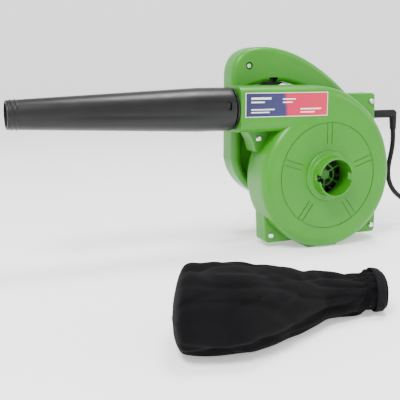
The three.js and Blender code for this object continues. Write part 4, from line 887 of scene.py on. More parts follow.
@dataclass
class FanCasing:
    """The scroll casing in two halves, with the outlet duct, lugs and intake ring.

    Attributes:
        upper_left: the scroll's arc beside the tongue.
        lower_left: the next one round.
        lower_right: the next.
        upper_right: the widest, which runs out into the duct.
        front: Y of the front face.
        back: Y of the back face.
        parting: Y where the halves meet.
        gap: between the halves.
        front_round: radius of the front edge.
        back_round: radius of the back edge.
        wall: thickness of the shell.
        duct_end: X of the outlet.
        duct_low: Z of the duct's underside.
        duct_slope: how far the duct's front falls back at the outlet.
        fan_z: height of the fan axis.
        bore: radius of the intake.
        lugs: (x, z) corners of each screw lug, in millimetres.
    """

    upper_left: Arc = Arc(-1 * MM, 86 * MM, 83.5 * MM)
    lower_left: Arc = Arc(1.5 * MM, 86 * MM, 86 * MM)
    lower_right: Arc = Arc(1.5 * MM, 87.5 * MM, 87.5 * MM)
    upper_right: Arc = Arc(-18 * MM, 87.5 * MM, 107 * MM)
    front: float = -24 * MM
    back: float = 29 * MM
    parting: float = 10 * MM
    gap: float = 0.3 * MM
    front_round: float = 11 * MM
    back_round: float = 8 * MM
    wall: float = 3 * MM
    duct_end: float = -113 * MM
    duct_low: float = 142.5 * MM
    duct_slope: float = 5 * MM
    fan_z: float = 88.5 * MM
    bore: float = 21.2 * MM
    lugs: tuple[tuple[tuple[float, float], ...], ...] = (
        ((30, 183.5), (77, 183.5), (79.5, 181), (79.5, 130), (50, 130)),
        ((45, 7.5), (83.5, 7.5), (87, 11), (87, 60), (45, 60)),
        ((-30, 6), (-66, 6), (-69.5, 9.5), (-71.5, 50), (-30, 50)),
        ((-97, 146), (-88, 131), (-84, 118), (-70, 112), (-60, 146)),
    )

    def disc(self, inset: float) -> bpy.types.Object:
        """The full round of the upper left arc, with both edges rounded.

        Args:
            inset: how far inside the outer surface it lies.

        Returns:
            The solid.
        """
        one = self.upper_left
        r = one.r - inset
        f, b = self.front_round - inset, self.back_round - inset
        y0, y1 = self.front + inset, self.back - inset
        profile = np.vstack([
            [[0.001 * MM, y0]],
            arc(r - f, y0 + f, f, -90, 0, 11.25),
            arc(r - b, y1 - b, b, 0, 90, 15),
            [[0.001 * MM, y1]],
        ])
        return turned("disc", profile, Axis.Y, (one.x, one.z), 128)

    def scroll(self, inset: float) -> bpy.types.Object:
        """The other three arcs as one plate whose round edges are rounded.

        Args:
            inset: how far inside the outer surface it lies.

        Returns:
            The solid.
        """
        low, right, wide = self.lower_left, self.lower_right, self.upper_right
        outline = outline_of(
            (wide.x, low.z),
            arc(wide.x, wide.z, wide.r - inset, 90, 0),
            arc(right.x, right.z, right.r - inset, 0, -90),
            arc(low.x, low.z, low.r - inset, -90, -180),
        )
        y0, y1 = self.front + inset, self.back - inset
        plate = prism("scroll", outline, y0, y1)
        round_rim(plate, y0, self.front_round - inset, 8, keep_out=self.is_inner_edge)
        round_rim(plate, y1, self.back_round - inset, 6, keep_out=self.is_inner_edge)
        return plate

    def is_inner_edge(self, middles: np.ndarray) -> np.ndarray:
        """Which edges lie on the straight sides inside the casing.

        Args:
            middles: the middle of each edge.

        Returns:
            True for each edge that stays sharp.
        """
        upright = np.abs(middles[:, 0] - self.upper_right.x) < 1e-5
        level = np.abs(middles[:, 2] - self.lower_left.z) < 1e-5
        return upright | (level & (middles[:, 0] < self.upper_right.x + 1e-5))

    def duct(self, inset: float, end: float) -> bpy.types.Object:
        """The outlet duct: a rounded section carried along X, whose front slopes.

        Args:
            inset: how far inside the outer surface it lies.
            end: X where it ends.

        Returns:
            The solid.
        """
        root = self.upper_right.x + 0.5 * MM
        top = self.upper_right.z + self.upper_right.r - inset
        low, back = self.duct_low + inset, self.back - inset
        f, b = self.front_round - inset, self.back_round - inset
        x = np.linspace(end, root, 12)
        share = (root - x) / (root - self.duct_end)
        rings = []
        for at, part in zip(x, share):
            y0 = self.front + inset + self.duct_slope * part
            section = np.vstack([
                arc(y0 + f, low + f, f, 180, 270, 11.25),
                arc(back - b, low + b, b, 270, 360, 15),
                arc(back - b, top - b, b, 0, 90, 15),
                arc(y0 + f, top - f, f, 90, 180, 11.25),
            ])
            rings.append(np.column_stack([np.full(len(section), at), section]))
        return lofted("duct", rings)

    def body(self, inset: float, end: float) -> bpy.types.Object:
        """Scroll and duct as one solid.

        Args:
            inset: how far inside the outer surface it lies.
            end: X where the duct ends.

        Returns:
            The solid.
        """
        return combine(self.scroll(inset), [self.disc(inset), self.duct(inset, end)], Join.ADD)

    def shell(self) -> bpy.types.Object:
        """The whole casing before it is parted: body, lugs and foot, hollowed.

        Returns:
            The solid.
        """
        outer = self.body(0, self.duct_end)
        added = []
        for points in self.lugs:
            lug = prism("lug", np.array(points) * MM, 2 * MM, 26 * MM)
            round_rim(lug, 2 * MM, 1.2 * MM, 3)
            added.append(lug)
        foot = np.array([(-20, 0), (20, 0), (20, 9), (-20, 9)]) * MM
        added.append(prism("foot", foot, -14 * MM, 23 * MM))
        combine(outer, added, Join.ADD)
        outlet = arc(5 * MM, 168.5 * MM, 21.35 * MM, 0, 357, 3)
        x0, x1 = self.duct_end - 5 * MM, self.duct_end + 5 * MM
        hole = lofted("outlet_hole",
                      [np.column_stack([np.full(len(outlet), x), outlet]) for x in (x0, x1)])
        hollow = self.body(self.wall, self.duct_end + self.wall)
        return combine(outer, [hollow, hole])

    def slab(self, y0: float, y1: float) -> bpy.types.Object:
        """A wide block between two planes across Y."""
        corners = np.array([(-0.4, -0.4), (0.4, -0.4), (0.4, 0.4), (-0.4, 0.4)])
        return prism("slab", corners, y0, y1)

    def grooves(self) -> list[bpy.types.Object]:
        """Cutters for the round groove and the five pairs of short grooves of the face.

        Returns:
            Closed solids.
        """
        y0, depth = self.front - 1 * MM, self.front + 0.8 * MM
        square = np.array([(62.7, y0 / MM), (63.9, y0 / MM), (63.9, depth / MM),
                           (62.7, depth / MM)]) * MM
        tools = [turned("round_groove", square, Axis.Y, (0, self.fan_z), 128)]
        strip = np.array([(38, -0.6), (62.9, -0.6), (62.9, 0.6), (38, 0.6)])
        for i in range(5):
            angle = math.pi / 2 + i * 2 * math.pi / 5
            turn = np.array([[math.cos(angle), math.sin(angle)],
                             [-math.sin(angle), math.cos(angle)]])
            for side in (-3.2, 3.2):
                outline = (strip + [0, side]) @ turn * MM + [0, self.fan_z]
                tools.append(prism("short_groove", outline, y0, depth))
        return tools

    def intake_ring(self) -> bpy.types.Object:
        """The raised ring round the intake, with its thin rim and two slots.

        Returns:
            The piece.
        """
        f = self.front / MM
        profile = np.vstack([
            [[21.2, f + 3], [30, f + 3], [30, f - 1.4], [29.2, f - 2.4]],
            [[26, f - 3.1], [24.6, f - 3.9], [23.9, f - 5.4], [23.2, f - 17.6]],
            [[22.9, f - 18.2], [22.4, f - 18.4], [21.5, f - 18.4], [21.2, f - 18.1]],
        ]) * MM
        ring = turned("intake_ring", profile, Axis.Y, (0, self.fan_z), 128)
        half = 4 * MM
        corners = np.array([(-0.026, self.fan_z - half), (0.026, self.fan_z - half),
                            (0.026, self.fan_z + half), (-0.026, self.fan_z + half)])
        slot = prism("slot", corners, self.front - 19.4 * MM, self.front - 9.4 * MM)
        return combine(ring, [slot])

    def build(self) -> None:
        """Makes both halves, the ring and the guard."""
        whole = self.shell()
        back = bpy.data.objects.new("casing_back", whole.data.copy())
        bpy.context.scene.collection.objects.link(back)
        whole.name = "casing_cover"
        far = 0.2
        combine(whole, [self.slab(-far, self.parting - self.gap / 2)], Join.KEEP_COMMON)
        combine(back, [self.slab(self.parting + self.gap / 2, far)], Join.KEEP_COMMON)
        bore = prism("bore", arc(0, self.fan_z, self.bore + 1 * MM, 0, 357, 3), -far, 0)
        combine(whole, [bore, *self.grooves()])
        shaft = prism("shaft_way", arc(0, self.fan_z, 11.3 * MM, 0, 354, 6), 0, far)
        combine(back, [shaft])
        ring = self.intake_ring()
        for piece, width in ((whole, 0.35), (back, 0.35), (ring, 0.3)):
            soften(piece, width * MM)
            dress(piece, GREEN)
            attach(piece, "housing")
        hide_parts("volute_cover")
        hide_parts("volute_back")
        refined("intake_guard", GREEN, 0.35 * MM)
        LOG.info("casing: %d and %d faces", len(whole.data.polygons), len(back.data.polygons))


@dataclass
class RatingLabel:
    """The label on the duct: a printed panel with a pale frame and plain bars.

    Attributes:
        thickness: of the film above the duct's face.
        margin: width of the pale frame.
        bars: (left share, right share, height share, half thickness) of each bar.
    """

    thickness: float = 0.5 * MM
    margin: float = 0.7 * MM
    bars: tuple[tuple[float, float, float, float], ...] = (
        (0.06, 0.30, 0.78, 0.045), (0.06, 0.22, 0.62, 0.03), (0.06, 0.34, 0.30, 0.025),
        (0.06, 0.28, 0.18, 0.025), (0.44, 0.60, 0.74, 0.025), (0.44, 0.56, 0.60, 0.025),
        (0.66, 0.92, 0.30, 0.03), (0.66, 0.84, 0.16, 0.025),
    )

    def patch(self, name: str, x: tuple[float, float], z: tuple[float, float],
              lift: float) -> bpy.types.Object:
        """A thin plate that follows the duct's sloping face.

        Its front lies at lift in front of the face, whose Y falls back evenly from the root
        to the outlet.

        Args:
            name: name of the piece.
            x: left and right end.
            z: lower and upper edge.
            lift: distance of its front from the face.

        Returns:
            The piece.
        """
        duct = FanCasing()
        root = duct.upper_right.x + 0.5 * MM
        xs = np.linspace(x[0], x[1], 24)
        share = np.clip((root - xs) / (root - duct.duct_end), 0, 1)
        face = duct.front + duct.duct_slope * share
        rows = []
        for y, height in ((face - lift, z[0]), (face - lift, z[1]),
                          (face - 0.1 * MM, z[1]), (face - 0.1 * MM, z[0])):
            rows.append(np.stack([xs, y, np.full(len(xs), height)], 1))
        faces = grid_faces(4, len(xs), True, False).tolist()
        n = len(xs)
        faces += [[0, n, 2 * n, 3 * n], [4 * n - 1, 3 * n - 1, 2 * n - 1, n - 1]]
        return faces_out(new_object(name, np.vstack(rows), faces))

    def build(self) -> None:
        """Makes the frame, the panel and the bars."""
        low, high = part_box("rating_label")
        x, z = (low.x, high.x), (low.z, high.z)
        m = self.margin
        frame_piece = self.patch("label_frame", x, z, self.thickness)
        dress(frame_piece, WHITE_INK)
        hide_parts("rating_label")
        inner_x, inner_z = (x[0] + m, x[1] - m), (z[0] + m, z[1] - m)
        panel = self.patch("label_panel", inner_x, inner_z, self.thickness + 0.06 * MM)
        dress(panel, PrintedFilm("label_print", inner_x[0], inner_x[1]))
        pieces = [frame_piece, panel]
        width, height = inner_x[1] - inner_x[0], inner_z[1] - inner_z[0]
        for i, (a, b, c, half) in enumerate(self.bars):
            bar = self.patch(
                f"label_bar_{i + 1}",
                (inner_x[0] + a * width, inner_x[0] + b * width),
                (inner_z[0] + (c - half) * height, inner_z[0] + (c + half) * height),
                self.thickness + 0.1 * MM,
            )
            dress(bar, WHITE_INK)
            pieces.append(bar)
        for piece in pieces:
            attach(piece, "housing")


# ---------------------------------------------------------------- nozzle
@dataclass
class Nozzle:
    """The tapered nozzle with beads at its tip, and the spigot inside its root.

    Attributes:
        root: X of the wide end.
        length: of the nozzle.
        root_radius: outer radius at the wide end.
        tip_radius: outer radius at the tip.
        straight: share of the length that isn't tapered.
        line: (y, z) of its axis.
    """

    root: float = -117.6 * MM
    length: float = 250 * MM
    root_radius: float = 24.75 * MM
    tip_radius: float = 15.2 * MM
    straight: float = 0.16
    line: tuple[float, float] = (5 * MM, 168.5 * MM)

    def outer(self, x: np.ndarray) -> np.ndarray:
        """Outer radius at x: even along the root, then falling evenly to the tip.

        Two beads of half a cosine stand on it near the tip.

        Args:
            x: places along the nozzle.

        Returns:
            The radius at each.
        """
        t = (self.root - x) / self.length
        run = np.clip((t - self.straight) / (1 - self.straight), 0, 1)
        radius = self.root_radius + (self.tip_radius - self.root_radius) * run
        tip = self.root - self.length
        for place in (tip + 5 * MM, tip + 10 * MM):
            near = np.clip(np.abs(x - place) / (1.1 * MM), 0, 1)
            radius = radius + 0.8 * MM * 0.5 * (1 + np.cos(math.pi * near))
        return radius

    def build(self) -> None:
        """Makes the nozzle with its latch window, and finishes the spigot."""
        tip = self.root - self.length
        fine = np.linspace(tip + 0.8 * MM, tip + 14 * MM, 60)
        coarse = np.linspace(tip + 14 * MM, self.root - 1.2 * MM, 60)[1:]
        x = np.concatenate([fine, coarse])
        outside = np.stack([self.outer(x), x], 1)
        ends = np.array([[self.root_radius - 0.5 * MM, self.root - 0.3 * MM],
                         [self.root_radius - 1.2 * MM, self.root],
                         [21.35 * MM, self.root]])
        back = np.linspace(self.root - 0.5 * MM, tip, 40)
        wall = np.interp(back, [tip, self.root], [2.2 * MM, 3.4 * MM])
        inside = np.stack([np.minimum(self.outer(back), self.root_radius) - wall, back], 1)
        inside[-1, 0] = 13 * MM
        lip = np.array([[self.tip_radius - 0.5 * MM, tip],
                        [self.tip_radius - 0.1 * MM, tip + 0.3 * MM]])
        profile = np.vstack([outside, ends, inside, lip])
        piece = turned("nozzle_tube", profile, Axis.X, self.line, 128)
        low_x, high_x = self.root - 12.2 * MM, self.root - 6.8 * MM
        corners = np.array([(low_x, 0.169), (high_x, 0.169), (high_x, 0.178), (low_x, 0.178)])
        window = prism("window", corners, -22 * MM, -14 * MM)
        combine(piece, [window])
        soften(piece, 0.25 * MM)
        dress(piece, BLACK)
        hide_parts("nozzle")
        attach(piece, "nozzle")
        # The spigot's black shoulder shows in the gap between the duct's end and the nozzle's
        # root. It is a real part, and its black also stands in for the shade in that gap: painted
        # shadow.
        refined("outlet_spigot", BLACK, 0.3 * MM)


# ---------------------------------------------------------------- handle and motor drum
@dataclass
class HandleShells:
    """The two shells that form the handle, its pillar and the motor drum.

    Attributes:
        front: Y of the front face.
        back: Y of the back face.
        split: Y where the shells meet.
        gap: between the shells.
        web: Y of the front and back of the web beside the drum.
        rim: radius of the handle's edges.
        drum: outer radius of the motor drum.
        chamber: inner radius of the drum.
        drum_end: Y of the drum's back end.
        neck: Y where the drum meets the casing.
        fan_z: height of the fan axis.
        finger_radius: radius of the opening's round stretch beside the drum.
        screws: (x, z) of the handle screws, in millimetres.
        well: radius of the screw heads' wells, in millimetres.
        shank: radius of the screw shanks' holes, in millimetres.
    """

    front: float = 38 * MM
    back: float = 71 * MM
    split: float = 54.5 * MM
    gap: float = 0.3 * MM
    web: tuple[float, float] = (46 * MM, 63 * MM)
    rim: float = 6.5 * MM
    drum: float = 58 * MM
    chamber: float = 55 * MM
    drum_end: float = 97.7 * MM
    neck: float = 29.3 * MM
    fan_z: float = 88.5 * MM
    finger_radius: float = 62.0
    screws: tuple[tuple[float, float], ...] = ((-76, 217), (66, 136), (-70, 73))
    well: float = 4.6
    shank: float = 2.2

    def outline(self) -> np.ndarray:
        """The handle seen from the front: pillar, grip, tail and the slope to the drum."""
        return outline_of(
            (-52, 58),
            bezier((-57, 56.7), (-92, 72), (-97.5, 105)),
            bezier((-97.5, 203.5), (-97.5, 239.5), (-56.5, 239.5)),
            bezier((-56.5, 239.5), (-16, 239.5), (25, 216), (58, 187), count=24),
            bezier((58, 187), (80, 167), (92, 165)),
            (108, 165), (108, 142),
            bezier((88, 140), (66, 126), (48, 100)),
            (0, 88.5),
        ) * MM

    def opening(self, close: float, last: float, tail: np.ndarray | None = None) -> np.ndarray:
        """The finger opening: above the drum, under the grip.

        Args:
            close: height where it starts on the pillar.
            last: angle where its round stretch beside the drum ends, in degrees.
            tail: points that close it, if it has any.

        Returns:
            (x, z) rows.
        """
        rim_r, start = self.finger_radius, 0.66
        end = (rim_r * math.cos(start), 88.5 + rim_r * math.sin(start))
        stretches = [
            (-84, close),
            bezier((-84, 177), (-84, 191.5), (-68, 193)),
            (-60, 195), (-54, 197), (-30, 197),
            bezier((-30, 197), (0, 193), (24, 179), (44, 157), count=20),
            bezier((44, 157), (56, 152), end),
            arc(0, 88.5, rim_r, math.degrees(start), last),
        ]
        if tail is not None:
            stretches.append(tail)
        return outline_of(*stretches) * MM

    def recess(self) -> np.ndarray:
        """The pocket beside the drum, which the web closes half way through."""
        last = 3.28
        rim_r = self.finger_radius
        start = (rim_r * math.cos(last), 88.5 + rim_r * math.sin(last))
        tail = bezier(start, (-80, 78), (-84, 104))[:-1]
        return self.opening(104, math.degrees(last), tail)

    def drilled(self, x: float, z: float, r: float, y0: float, y1: float) -> bpy.types.Object:
        """A round cutter along Y at (x, z) in millimetres."""
        return prism("drill", arc(x * MM, z * MM, r * MM, 0, 348, 12), y0, y1)

    def hollows(self) -> list[bpy.types.Object]:
        """What both shells leave free: the grip's inside, the trigger's slot, the cord's mouth."""
        grip = outline_of(
            (-64, 199.5), (-64, 233.5),
            bezier((-54, 235.5), (-17, 235.5), (22, 212.5), (54, 184.5), count=20),
            bezier((54, 184.5), (76, 162), (90, 160)),
            (98, 160), (98, 147),
            bezier((80, 147), (60, 154), (48, 159)),
            bezier((48, 159), (26, 182), (2, 196), (-20, 200), count=16),
        ) * MM
        slot = np.array([(-58.6, 185), (-18, 185), (-18, 208.5), (-58.6, 208.5)]) * MM
        notch = np.array([(-49, 190), (-37, 190), (-37, 203), (-49, 203)]) * MM
        mouth = turned("mouth", np.array([(0.01, 95.5), (5.75, 95.5), (5.75, 100.7), (8.25, 100.7),
                                          (8.25, 104.3), (5.75, 104.3), (5.75, 110),
                                          (0.01, 110)]) * MM,
                       Axis.X, (self.split, 0.153), 48)
        return [
            prism("grip_inside", grip, self.front + 3 * MM, self.back - 3 * MM),
            prism("trigger_slot", slot, self.split - 8.5 * MM, self.split + 8.5 * MM),
            prism("trigger_notch", notch, self.front - 1 * MM, self.split),
            mouth,
            prism("drum_inside", arc(0, self.fan_z, self.chamber, 0, 357, 3), 0, 0.2),
        ]

    def levels(self, face: float, towards: float, radius: float) -> np.ndarray:
        """Planes and insets of a rounded edge.

        Along a quarter circle the plane lies R (1 - cos a) behind the face and the outline is
        R (1 - sin a) inside.

        Args:
            face: plane of the face.
            towards: +1 if the piece lies behind the face in +Y, else -1.
            radius: of the edge.

        Returns:
            (y, inset) rows.
        """
        a = np.linspace(0, math.pi / 2, 8)
        return np.stack([face + towards * radius * (1 - np.cos(a)), radius * (1 - np.sin(a))], 1)

    def plate(self, face: float, end: float, web: float) -> bpy.types.Object:
        """One shell's flat part with both openings, rounded along its outer face.

        The openings' cutters flare towards the face as the outline draws in.

        Args:
            face: plane of the outer face.
            end: plane where the shells meet.
            web: plane of the web's surface.

        Returns:
            The piece.
        """
        towards = 1.0 if end > face else -1.0
        rim = self.levels(face, towards, self.rim)
        piece = lofted_plate("plate", self.outline(), np.vstack([rim, [[end, 0]]]))
        flare = rim * [1, -1]
        outside = [[face - towards * 8 * MM, -self.rim]]
        pocket = lofted_plate("pocket", self.recess(),
                              np.vstack([outside, flare, [[web, 0]]]))
        through = lofted_plate(
            "through", self.opening(144, math.degrees(2.05)),
            np.array([[web - towards * 1 * MM, 0.02 * MM], [end + towards * 8 * MM, 0.02 * MM]]),
        )
        return combine(piece, [pocket, through])

    def finish(self, piece: bpy.types.Object, name: str, node: str) -> None:
        """Softens, dresses and places one shell.

        Args:
            piece: the shell.
            name: its name.
            node: the node that it replaces.
        """
        piece.name = name
        soften(piece, 0.3 * MM)
        dress(piece, GREEN)
        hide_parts(node)
        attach(piece, "housing")
        LOG.info("%s: %d faces", name, len(piece.data.polygons))

    def build_front(self) -> None:
        """Makes the front shell with the drum's neck and the screw wells."""
        end = self.split - self.gap / 2
        piece = self.plate(self.front, end, self.web[0])
        neck = prism("neck", arc(0, self.fan_z, self.drum, 0, 358, 2), self.neck, end)
        combine(piece, [neck], Join.ADD)
        wells = [self.drilled(x, z, self.well, self.front - 10 * MM, self.front + 4 * MM)
                 for x, z in self.screws]
        holes = [self.drilled(x, z, self.shank, self.front, end + 5 * MM)
                 for x, z in self.screws]
        combine(piece, self.hollows() + wells + holes)
        self.finish(piece, "handle_front", "handle_shell_front")

    def build_back(self) -> None:
        """Makes the back shell with the drum and the rear stand."""
        start = self.split + self.gap / 2
        piece = self.plate(self.back, start, self.web[1])
        drum = prism("drum", arc(0, self.fan_z, self.drum, 0, 358, 2), start, self.drum_end)
        round_rim(drum, self.drum_end, 1.6 * MM, 4)
        foot = prism("stand", np.array([(-28, 0), (28, 0), (28, 42.5), (-28, 42.5)]) * MM,
                     76 * MM, 94 * MM)
        soften(foot, 1.2 * MM, 3)
        foot.modifiers.remove(foot.modifiers["shading"])
        settle(foot)
        combine(piece, [drum, foot], Join.ADD)
        holes = [self.drilled(x, z, self.shank, self.split - 5 * MM, 67 * MM)
                 for x, z in self.screws]
        lock = self.drilled(-46, 219, 5.5, 65 * MM, 80 * MM)
        combine(piece, self.hollows() + holes + [lock])
        self.finish(piece, "handle_back", "handle_shell_back")

    def build(self) -> None:
        """Makes both shells and the rear cap."""
        self.build_front()
        self.build_back()
        refined("motor_cap", GREEN, 0.4 * MM)


# ---------------------------------------------------------------- everything that is refined
@dataclass
class Mechanism:
    """The screws, motor, impeller and switch gear: solid-model pieces with broken edges.

    Attributes:
        edge: width of the broken edges.
        spring_keep: share of its length that the trigger's spring keeps when pressed; not used.
        spring_line: (x, y) of the spring's middle line; not used.
    """

    edge: float = 0.2 * MM
    spring_keep: float = 0.64
    spring_line: tuple[float, float] = (-0.047, 0.0545)

    def finish_of(self, node: str) -> Finish:
        """The finish of a node, from words in its name.

        Args:
            node: name of the node.

        Returns:
            The finish.
        """
        words = (
            ("screw", ZINC), ("winding", COPPER), ("field_coil", COPPER), ("commutator", COPPER),
            ("lead", RUBBER), ("brush_spring", STEEL), ("brush_holder", BRASS), ("brush", CARBON),
            ("impeller", DUSTY), ("fan", WHITE), ("trigger_spring", STEEL), ("pin", STEEL),
            ("trigger", BLACK), ("lock", BLACK), ("switch", BLACK), ("clamp", BLACK),
        )
        return next((finish for word, finish in words if word in node), STEEL)

    def build(self, done: set[str]) -> None:
        """Finishes every node that nothing else stands for.

        Args:
            done: names of the nodes that have their pieces.
        """
        for node in sorted(frame["nodes"]):
            if node not in done:
                piece = refined(node, self.finish_of(node), self.edge)
                if node == "trigger_spring":
                    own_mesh(piece)


# ---------------------------------------------------------------- dust bag
@dataclass
class DustBag:
    """The cloth dust bag, which lies in front of the blower with its mouth to the right.

    Attributes:
        stations: (x, y, half depth, height) of the bag's section, in millimetres.
        lift: height of the bag's underside.
        cloth: thickness of the cloth.
        cap: furthest that the simulation may move a point.
        hem: (first x, last x, thickness) of the elastic hem.
        lean: how far a section leans along X for each metre across.
        steps: number of frames of the simulation.
        flat: width and length of the cloth's blank; not used.
        area: of the blank, which is tapered; not used.
    """

    stations: tuple[tuple[float, float, float, float], ...] = (
        (-277, -240, 46, 58), (-265, -244, 52, 68), (-222, -256, 53, 66), (-180, -247, 43, 57),
        (-135, -230, 31, 44), (-100, -229, 27, 38), (-68, -232, 22, 32),
    )
    lift: float = 1.9 * MM
    cloth: float = 1.1 * MM
    cap: float = 6 * MM
    hem: tuple[float, float, float] = (-80 * MM, -71 * MM, 1.6 * MM)
    lean: float = 0.4
    steps: int = 20
    flat: tuple[float, float] = (0.29, 0.23)
    area: float = 0.052

    def section(self, x: np.ndarray, angle: np.ndarray, grow: float) -> np.ndarray:
        """Points of the bag's sections.

        Centre y, half depth and height follow the stations, smoothed along x. A point lies at
        y + half depth * s(cos a) and lift + height / 2 * (1 + s(sin a)), where s keeps the sign
        and raises the size to the power 0.82, and leans along X with its distance from y.

        Args:
            x: places along the bag.
            angle: angles round it.
            grow: how far outside the bag's surface the points lie.

        Returns:
            Points as a grid: places, angles, (x, y, z).
        """
        table = np.array(self.stations) * MM
        reach = 4 * MM
        shifts = np.linspace(-reach, reach, 9)
        inside = np.clip(x[:, None] + shifts, table[0, 0], table[-1, 0])
        y, half, height = (np.interp(inside, table[:, 0], table[:, k]).mean(1)[:, None]
                           for k in (1, 2, 3))
        soft_cos = np.sign(np.cos(angle)) * np.abs(np.cos(angle)) ** 0.82
        soft_sin = np.sign(np.sin(angle)) * np.abs(np.sin(angle)) ** 0.82
        aside = (half + grow) * soft_cos[None]
        return np.stack([
            x[:, None] + self.lean * aside,
            y + aside,
            self.lift + height / 2 + (height / 2 + grow) * soft_sin[None],
        ], -1)

    def folds(self, points: np.ndarray, x: np.ndarray, angle: np.ndarray) -> np.ndarray:
        """How far each point of the bag lies inside its smooth surface.

        Long folds run slantwise from the mouth: each is a ridge of a sine in the angle plus a
        share of x, raised to sharpen its valley. They fade at the mouth and under the bag.

        Args:
            points: grid of the smooth surface.
            x: places along the bag.
            angle: angles round it.

        Returns:
            Depth at each grid point.
        """
        along = (x - x[0]) / (x[-1] - x[0])
        u, a = along[:, None], angle[None, :]
        wide = 0.5 + 0.5 * np.sin(5 * a + 7.5 * u + 1.3 * np.sin(3 * a + 2))
        narrow = 0.5 + 0.5 * np.sin(11 * a - 13 * u + 1.7 * np.sin(9 * u + 2 * a))
        cross = 0.5 + 0.5 * np.sin(26 * u + 2.4 * np.sin(2 * a + 1) + 1.2 * np.sin(5 * a))
        depth = 3.6 * wide**3 + 2.0 * narrow**3 + 2.2 * cross**3 * (1 - 0.5 * u)
        fade = np.clip((1 - u) / 0.12, 0, 1) * np.clip(0.35 + points[..., 2] / (22 * MM), 0, 1)
        return depth * MM * fade

    def skin(self) -> tuple[bpy.types.Object, np.ndarray]:
        """The bag's cloth before its thickness: closed on the left, open at the mouth.

        Returns:
            The piece, with faces out, and the place along the bag of each of its points.
        """
        first, last = self.stations[0][0] * MM, self.stations[-1][0] * MM
        reach = 9 * MM
        x = np.concatenate([first + reach * (1 - np.cos(np.linspace(0.05, 1, 8) * math.pi / 2)),
                            np.linspace(first + reach + 2.5 * MM, last, 84)])
        angle = np.linspace(0, 2 * math.pi, 112, endpoint=False)
        grid = self.section(x, angle, -0.6 * MM)
        middle = grid.mean(1, keepdims=True)
        end = np.clip((x - first) / reach, 0, 1)
        round_end = np.sqrt(1 - (1 - end) ** 2)[:, None, None]
        grid = middle + (grid - middle) * round_end
        outward = grid - middle
        outward[..., 0] = 0
        outward /= np.linalg.norm(outward, axis=-1, keepdims=True) + 1e-9
        grid = grid - outward * (self.folds(grid, x, angle) * round_end[..., 0])[..., None]
        grid[..., 2] = np.maximum(grid[..., 2], self.lift)
        count = len(angle)
        faces = grid_faces(len(x), count, False, True).tolist()
        faces.append(list(range(count))[::-1])
        piece = new_object("bag_cloth", grid, faces)
        triangles = piece.modifiers.new("cap", "TRIANGULATE")
        triangles.min_vertices = 5
        settle(piece)
        topmost = max(piece.data.polygons, key=lambda face: face.center.z)
        if topmost.normal.z < 0:
            piece.data.flip_normals()
        return piece, np.repeat(x, count)

    def settle_cloth(self, piece: bpy.types.Object, place: np.ndarray) -> None:
        """Lets the cloth crease under a little spare width, its weight and air inside.

        The mouth is pinned. No point may move further than the cap, and none below the lift.

        Args:
            piece: the open skin.
            place: the place along the bag of each of its points.
        """
        before = coordinates(piece.data)
        pinned = np.nonzero(place > self.hem[0] - 6 * MM)[0]
        piece.vertex_groups.new(name="mouth").add(pinned.tolist(), 1.0, "REPLACE")
        step = piece.modifiers.new("cloth", "CLOTH")
        cloth = step.settings
        cloth.quality = 6
        cloth.mass = 0.12
        cloth.tension_stiffness = 18
        cloth.compression_stiffness = 18
        cloth.shear_stiffness = 4
        cloth.bending_stiffness = 0.4
        cloth.vertex_group_mass = "mouth"
        cloth.shrink_min = -0.05
        cloth.use_pressure = True
        cloth.uniform_pressure_force = 1.2
        cloth.effector_weights.gravity = 0.25
        step.collision_settings.use_collision = False
        scene = bpy.context.scene
        for number in range(1, self.steps + 1):
            scene.frame_set(number)
        settle(piece)
        scene.frame_set(1)
        moved = coordinates(piece.data) - before
        length = np.linalg.norm(moved, axis=1, keepdims=True)
        LOG.info("bag: the cloth moves by %.1f mm at most", length.max() / MM)
        moved *= np.tanh(length / self.cap) * self.cap / np.maximum(length, 1e-9)
        after = before + moved
        table = np.array(self.stations) * MM
        top = self.lift + np.interp(place, table[:, 0], table[:, 3])
        over = after[:, 2] - top
        after[:, 2] = np.where(over > 0, top + 1.5 * MM * np.tanh(over / (3 * MM)), after[:, 2])
        after[:, 2] = np.maximum(after[:, 2], self.lift)
        set_coordinates(piece.data, after)

    def build_hem(self) -> bpy.types.Object:
        """The elastic hem round the mouth: a band with fine gathers.

        The band's outer side ripples as the square of a sine round the mouth.

        Returns:
            The piece.
        """
        x0, x1, thick = self.hem
        across = np.array([0, 0, 0.12, 0.3, 0.7, 0.88, 1, 1])
        height = np.array([0, 0.45, 0.85, 1, 1, 0.85, 0.45, 0]) * (thick - 0.8 * MM)
        angle = np.linspace(0, 2 * math.pi, 288, endpoint=False)
        ripple = 0.4 * MM * np.sin(36 * angle) ** 2
        xs = x0 + (x1 - x0) * across
        rings = []
        for x, lift in zip(xs, height):
            ring = self.section(np.array([x]), angle, 0.35 * MM + lift)[0]
            middle = ring.mean(0)
            away = (ring - middle) * [0, 1, 1]
            away /= np.linalg.norm(away, axis=1, keepdims=True)
            ring = ring + away * (ripple * (lift > 0.3 * MM))[:, None]
            rings.append(ring)
        points = np.array(rings)
        piece = new_object("bag_hem_band", points, grid_faces(len(xs), len(angle), True, True))
        faces_out(piece)
        piece.data.shade_smooth()
        dress(piece, WEBBING)
        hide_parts("bag_hem")
        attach(piece, BODY_OF["bag_hem"])
        return piece

    def build(self) -> None:
        bag, place = self.skin()
        self.settle_cloth(bag, place)
        wall = bag.modifiers.new("wall", "SOLIDIFY")
        wall.thickness = self.cloth
        wall.offset = -1
        smooth = bag.modifiers.new("smooth", "SUBSURF")
        smooth.levels = 1
        smooth.render_levels = 1
        bag.data.shade_smooth()
        dress(bag, CLOTH)
        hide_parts("dust_bag")
        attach(bag, BODY_OF["dust_bag"])
        hem = self.build_hem()


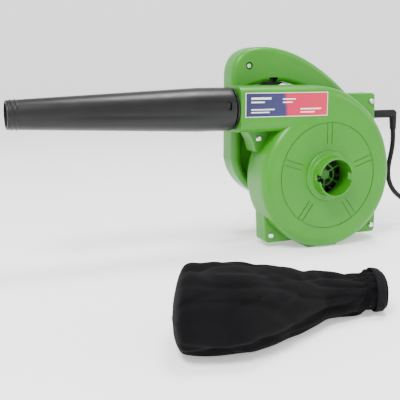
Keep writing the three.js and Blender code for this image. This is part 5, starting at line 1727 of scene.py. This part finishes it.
# ---------------------------------------------------------------- the whole blower
def main() -> None:
    """Builds the scene: camera and cord first, then each sub-assembly."""
    logging.basicConfig(level=logging.INFO, format="%(name)s: %(message)s")
    studio = Studio()
    studio.camera()
    Cord().build()
    studio.floor()
    studio.light()
    for part in (FanCasing(), RatingLabel(), Nozzle(), HandleShells(), DustBag()):
        part.build()
        LOG.info("%s is built", type(part).__name__)
    done = {
        "power_cord", "cord_coil", "cord_tail", "cord_boot", "plug_body", "plug_pin_1",
        "plug_pin_2", "volute_cover", "volute_back", "intake_guard", "rating_label", "nozzle",
        "outlet_spigot", "handle_shell_front", "handle_shell_back", "motor_cap", "dust_bag",
        "bag_hem",
    }
    Mechanism().build(done)


if __name__ == "__main__":
    main()
